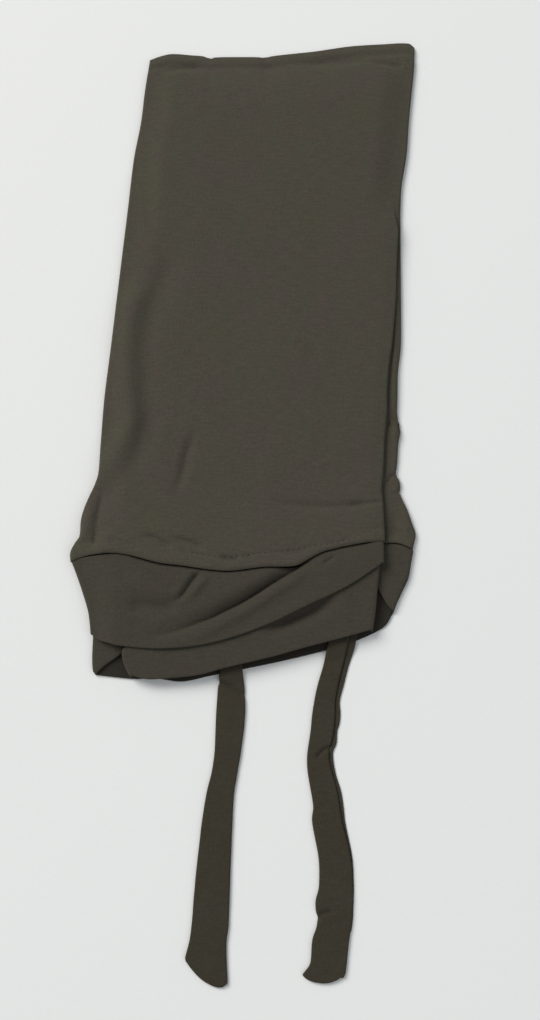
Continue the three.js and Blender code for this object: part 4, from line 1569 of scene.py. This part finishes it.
@dataclass(kw_only=True)
class Tie(Sheet):
    """A tie: a turned strip pressed flat, on the nape band at first and then on the floor.

    Attributes:
        left_edge: X of its left edge, by y.
        right_edge: X of its right edge, by y.
        fold_edge: X at which its upper layer ends and only the lower one goes on, by y.
        tip: Y of its free end, by the share of its width from the left.
        start: Y of its sewn end.
        finish: Y at which the free end's shaping is complete.
        folds: Its creases and dimples.
        step: Thickness of the lower layer where it shows beside the upper one.
        thickens: Distances below the centre between which that layer thickens.
        rim: What the rounded edges add all round.
        ramp: Length over which it comes down from the nape band to the floor.
        shaping: Length over which the free end takes its slant.
    """

    rests: tuple[str, ...] = ("nape_band",)
    slot: str = "tie_jersey"
    jersey: ViscoseJersey = TIE_JERSEY
    wall: float = 2.0
    left_edge: Curve
    right_edge: Curve
    fold_edge: Curve
    tip: Curve
    start: float
    finish: float
    folds: tuple[Fold, ...] = ()
    step: float = 0.8
    thickens: tuple[float, float] = (236.0, 252.0)
    rim: float = 0.8
    ramp: float = 9.0
    shaping: float = 30.0

    def layers(self) -> tuple[Array, Array]:
        """Lay the strip out in rows, from its sewn end to its free one.

        Returns:
            The points of its underside, and its thickness at each of them.
        """
        nape = NapeBand.lower_edge
        rows, sizes = [], []
        stepped = self.fold_edge is not self.right_edge
        for y in np.arange(self.start, self.finish - 0.01, -1.0):
            bend = float(smooth(self.finish + self.shaping - y, 0, self.shaping)) ** 3
            left_y, right_y = (mix(y, float(self.tip(end)) + self.rim, bend) for end in (0, 1))
            left = float(self.left_edge(left_y)) + self.rim
            right = float(self.right_edge(right_y)) - self.rim
            if stepped:
                fold = float(self.fold_edge(y))
                lowest = float(mix(self.step, self.wall * 0.75, smooth(-y, *self.thickens)))
                right += self.rim - lowest / 2
                # Points gather where the upper layer ends, so that its step stays crisp.
                near = fold - np.array((0.8, 0.5, 0.25, 0.1, 0.0, -0.12))
                beyond = np.linspace(fold + 0.35, right, 7)
                x = np.concatenate((np.linspace(left, fold - 1.3, 21), near, beyond))
                beside = lowest * mix(0.5, 1.0, smooth(x, fold + 0.3, fold + 1.6))
                size = mix(self.wall, beside, smooth(x, fold - 0.5, fold + 0.05))
            else:
                x = np.linspace(left, right, 25)
                size = np.full(len(x), self.wall)
            across = (x - left) / (right - left)
            place = mix(y, self.tip(across) + self.rim, bend)
            lift = (BAND_WALL + GAP) * smooth(place, nape(x) - 1 - self.ramp, nape(x) - 1)
            soft = lift_of(self.folds, x, place) + 0.1 * ease(x, place, 16, 0.9)
            rows.append(np.column_stack((x, place, lift)))
            sizes.append(np.maximum(size + soft * (size > 1.0), self.step / 2))
        return np.stack(rows), np.stack(sizes)

    def cloth(self) -> Cloth:
        """Make its wall of cloth, which stands on the strip's underside.

        Returns:
            The cloth, with its free edges rounded.
        """
        grid, size = self.layers()
        grid[..., 2] += size / 2
        return Cloth(self.name, grid, size / 2)


def left_tie() -> Tie:
    """Shape the left tie, which lies plainly flat.

    Returns:
        The tie, not yet built.
    """
    right = Curve((
        (-110, -5.2), (-127, -4.7), (-144, -3), (-161, -3.1), (-179, -5.3), (-192, -7.4),
        (-205, -9.4), (-223, -10.3), (-261, -11.6), (-281, -12.1), (-292, -13.3), (-302, -13.1),
        (-314, -12.4),
    ))
    return Tie(
        name="left_tie_strip",
        node="left_tie",
        flat=(18, 210),
        area=0.0036,
        left_edge=Curve((
            (-110, -17.6), (-127, -18.4), (-144, -19.9), (-161, -20.8), (-179, -21.3),
            (-192, -23.1), (-205, -26.1), (-223, -28.8), (-261, -32.6), (-281, -34),
            (-292, -35.4), (-302, -38.2),
        )),
        right_edge=right,
        fold_edge=right,
        tip=Curve((
            (0, -302.5), (0.1, -306), (0.3, -311.2), (0.52, -315), (0.75, -317.3), (0.9, -317.4),
            (1, -316),
        )),
        start=-110,
        finish=-302,
        folds=(
            Fold(((-20, -135.5), (-12.1, -139.3), (-3, -146)), 1.4, -1.6, fade=0.15),
            Fold(((-19, -132.5), (-10, -135.5), (-3, -141)), 1.7, 0.6),
            Fold(((-20, -165), (-12, -166.5), (-4, -166)), 2.0, -0.3),
        ),
    )


def right_tie() -> Tie:
    """Shape the right tie, whose lower layer shows beside its upper one.

    Returns:
        The tie, not yet built.
    """
    return Tie(
        name="right_tie_strip",
        node="right_tie",
        flat=(21, 218),
        area=0.0042,
        left_edge=Curve((
            (-98, 52.6), (-115, 48.7), (-126, 46.3), (-139, 42.5), (-154, 39.5), (-168, 37.9),
            (-181, 36), (-192, 36.2), (-212, 39.4), (-221, 38.6), (-243, 42.4), (-260, 42.4),
            (-269, 40.3), (-282, 41), (-290, 38.4), (-302, 37.2), (-305.5, 36.3), (-311, 31.9),
        )),
        right_edge=Curve((
            (-98, 69.6), (-115, 66), (-126, 62.2), (-138, 59), (-148, 56.4), (-156, 56.7),
            (-162, 56), (-166, 54.7), (-174, 54), (-180, 51.8), (-192, 53.2), (-203, 56.4),
            (-212, 57.8), (-222, 58.8), (-243, 62.9), (-259, 63.8),
            (-269, 63.5), (-281, 62.7), (-289, 61.2), (-302, 58.8), (-309, 57.6),
            (-312.5, 56),
        )),
        fold_edge=Curve((
            (-98, 64), (-111, 61.6), (-124, 58.6), (-138, 55), (-148, 53.3), (-158, 52.8),
            (-169, 51.6), (-180, 49), (-186, 49.2), (-203, 53.5), (-212, 55), (-222, 56.5),
            (-237, 60.3), (-243, 61.4), (-252, 62.2), (-259, 62.5),
            (-269, 62.3), (-281, 61.5), (-289, 60.1), (-302, 57.6), (-309, 56.2),
        )),
        tip=Curve((
            (0, -311.3), (0.1, -313.2), (0.3, -315), (0.62, -315.7), (0.86, -314.2), (1, -312.2),
        )),
        start=-98,
        finish=-309,
        folds=(
            Fold(((41, -183), (46.5, -178), (51, -176.5)), 1.4, -1.6, fade=0.1),
            Fold(((39, -282), (43.4, -276.2), (51, -274)), 1.5, -1.5, fade=0.15),
            Fold(((40, -216), (44, -213), (49, -214)), 1.6, -0.4),
        ),
    )


# The studio

@dataclass
class Studio:
    """The pale floor, the camera and the soft light.

    Attributes:
        target: Point on the floor that the camera looks at.
        elevation: The camera's angle above the floor, in degrees.
        distance: Its distance from the target, in metres.
        floor_half: Half the length of the floor's side, in metres.
        floor_drop: How far the floor lies below z = 0, in metres, clear of the cloth.
        lens: The camera's focal length, in millimetres.
        sensor: The width of its picture plane, in millimetres.
        sky: Colour and strength of the light from all round.
        lights: Name, place, side in metres, power in watts and colour of each soft light.
    """

    target: Place = (0.0128, -0.02425, 0.0)
    elevation: float = 75.0
    distance: float = 0.917
    floor_half: float = 3.0
    floor_drop: float = 0.0002
    lens: float = 50.0
    sensor: float = 36.0
    sky: tuple[str, float] = ("#f3f6f6", 0.36)
    lights: tuple[tuple[str, Place, float, float, str], ...] = (
        ("key_light", (-3.5, 2.7, 3.9), 3.4, 272.0, "#fffbf7"),
        ("fill_light", (2.2, -2.0, 2.4), 2.8, 24.0, "#f2f8ff"),
    )

    def build(self) -> None:
        """Set up the camera, then the floor and the lights."""
        self.camera()
        self.floor()
        self.world(*self.sky)
        for light in self.lights:
            self.area(*light)

    def camera(self) -> None:
        """Place the camera at the photograph's angle."""
        data = bpy.data.cameras.new("camera")
        data.lens, data.sensor_width, data.sensor_fit = self.lens, self.sensor, "AUTO"
        camera = bpy.data.objects.new("camera", data)
        angle = math.radians(self.elevation)
        away = Vector((0.0, -math.cos(angle), math.sin(angle))) * self.distance
        camera.location = Vector(self.target) + away
        camera.rotation_euler = (-away).to_track_quat("-Z", "Y").to_euler()
        bpy.context.scene.collection.objects.link(camera)
        bpy.context.scene.camera = camera

    def floor(self) -> None:
        """Lay the pale paper that the cap lies on."""
        mesh = bpy.data.meshes.new("studio_floor")
        signs = ((-1, -1), (1, -1), (1, 1), (-1, 1))
        corners = [(x * self.floor_half, y * self.floor_half, -self.floor_drop) for x, y in signs]
        mesh.from_pydata(corners, [], [(0, 1, 2, 3)])
        mesh.materials.append(PAPER.material())
        floor = bpy.data.objects.new("studio_floor", mesh)
        bpy.context.scene.collection.objects.link(floor)

    def world(self, colour: str, strength: float) -> None:
        """Light the whole scene evenly.

        Args:
            colour: Colour of the light.
            strength: Its strength.
        """
        world = bpy.data.worlds.new("studio")
        world.use_nodes = True
        sky = world.node_tree.nodes["Background"]
        sky.inputs["Color"].default_value = linear(colour)
        sky.inputs["Strength"].default_value = strength
        bpy.context.scene.world = world
        bpy.context.scene.view_settings.view_transform = "Standard"

    def area(self, name: str, place: Place, size: float, power: float, tint: str) -> None:
        """Hang a square soft light that faces the cap.

        Args:
            name: Name of the light.
            place: Where it hangs, in metres.
            size: Length of its side, in metres.
            power: Its power in watts.
            tint: Its colour.
        """
        data = bpy.data.lights.new(name, "AREA")
        data.shape, data.size, data.energy, data.color = "SQUARE", size, power, linear(tint)[:3]
        light = bpy.data.objects.new(name, data)
        light.location = place
        light.rotation_euler = (-Vector(place)).to_track_quat("-Z", "Y").to_euler()
        bpy.context.scene.collection.objects.link(light)


def main() -> None:
    """Build the studio and then the cap, piece by piece."""
    logging.basicConfig(level=logging.INFO, format="%(name)s: %(message)s")
    Studio().build()
    crown = Crown()
    pieces = [crown.build(), HemStitches(crown).build(), NapeBand().build()]
    pieces += [UnderBand().build(), OverBand().build(), left_tie().build(), right_tie().build()]
    LOG.info("%d pieces in all", len(pieces))


if __name__ == "__main__":
    main()
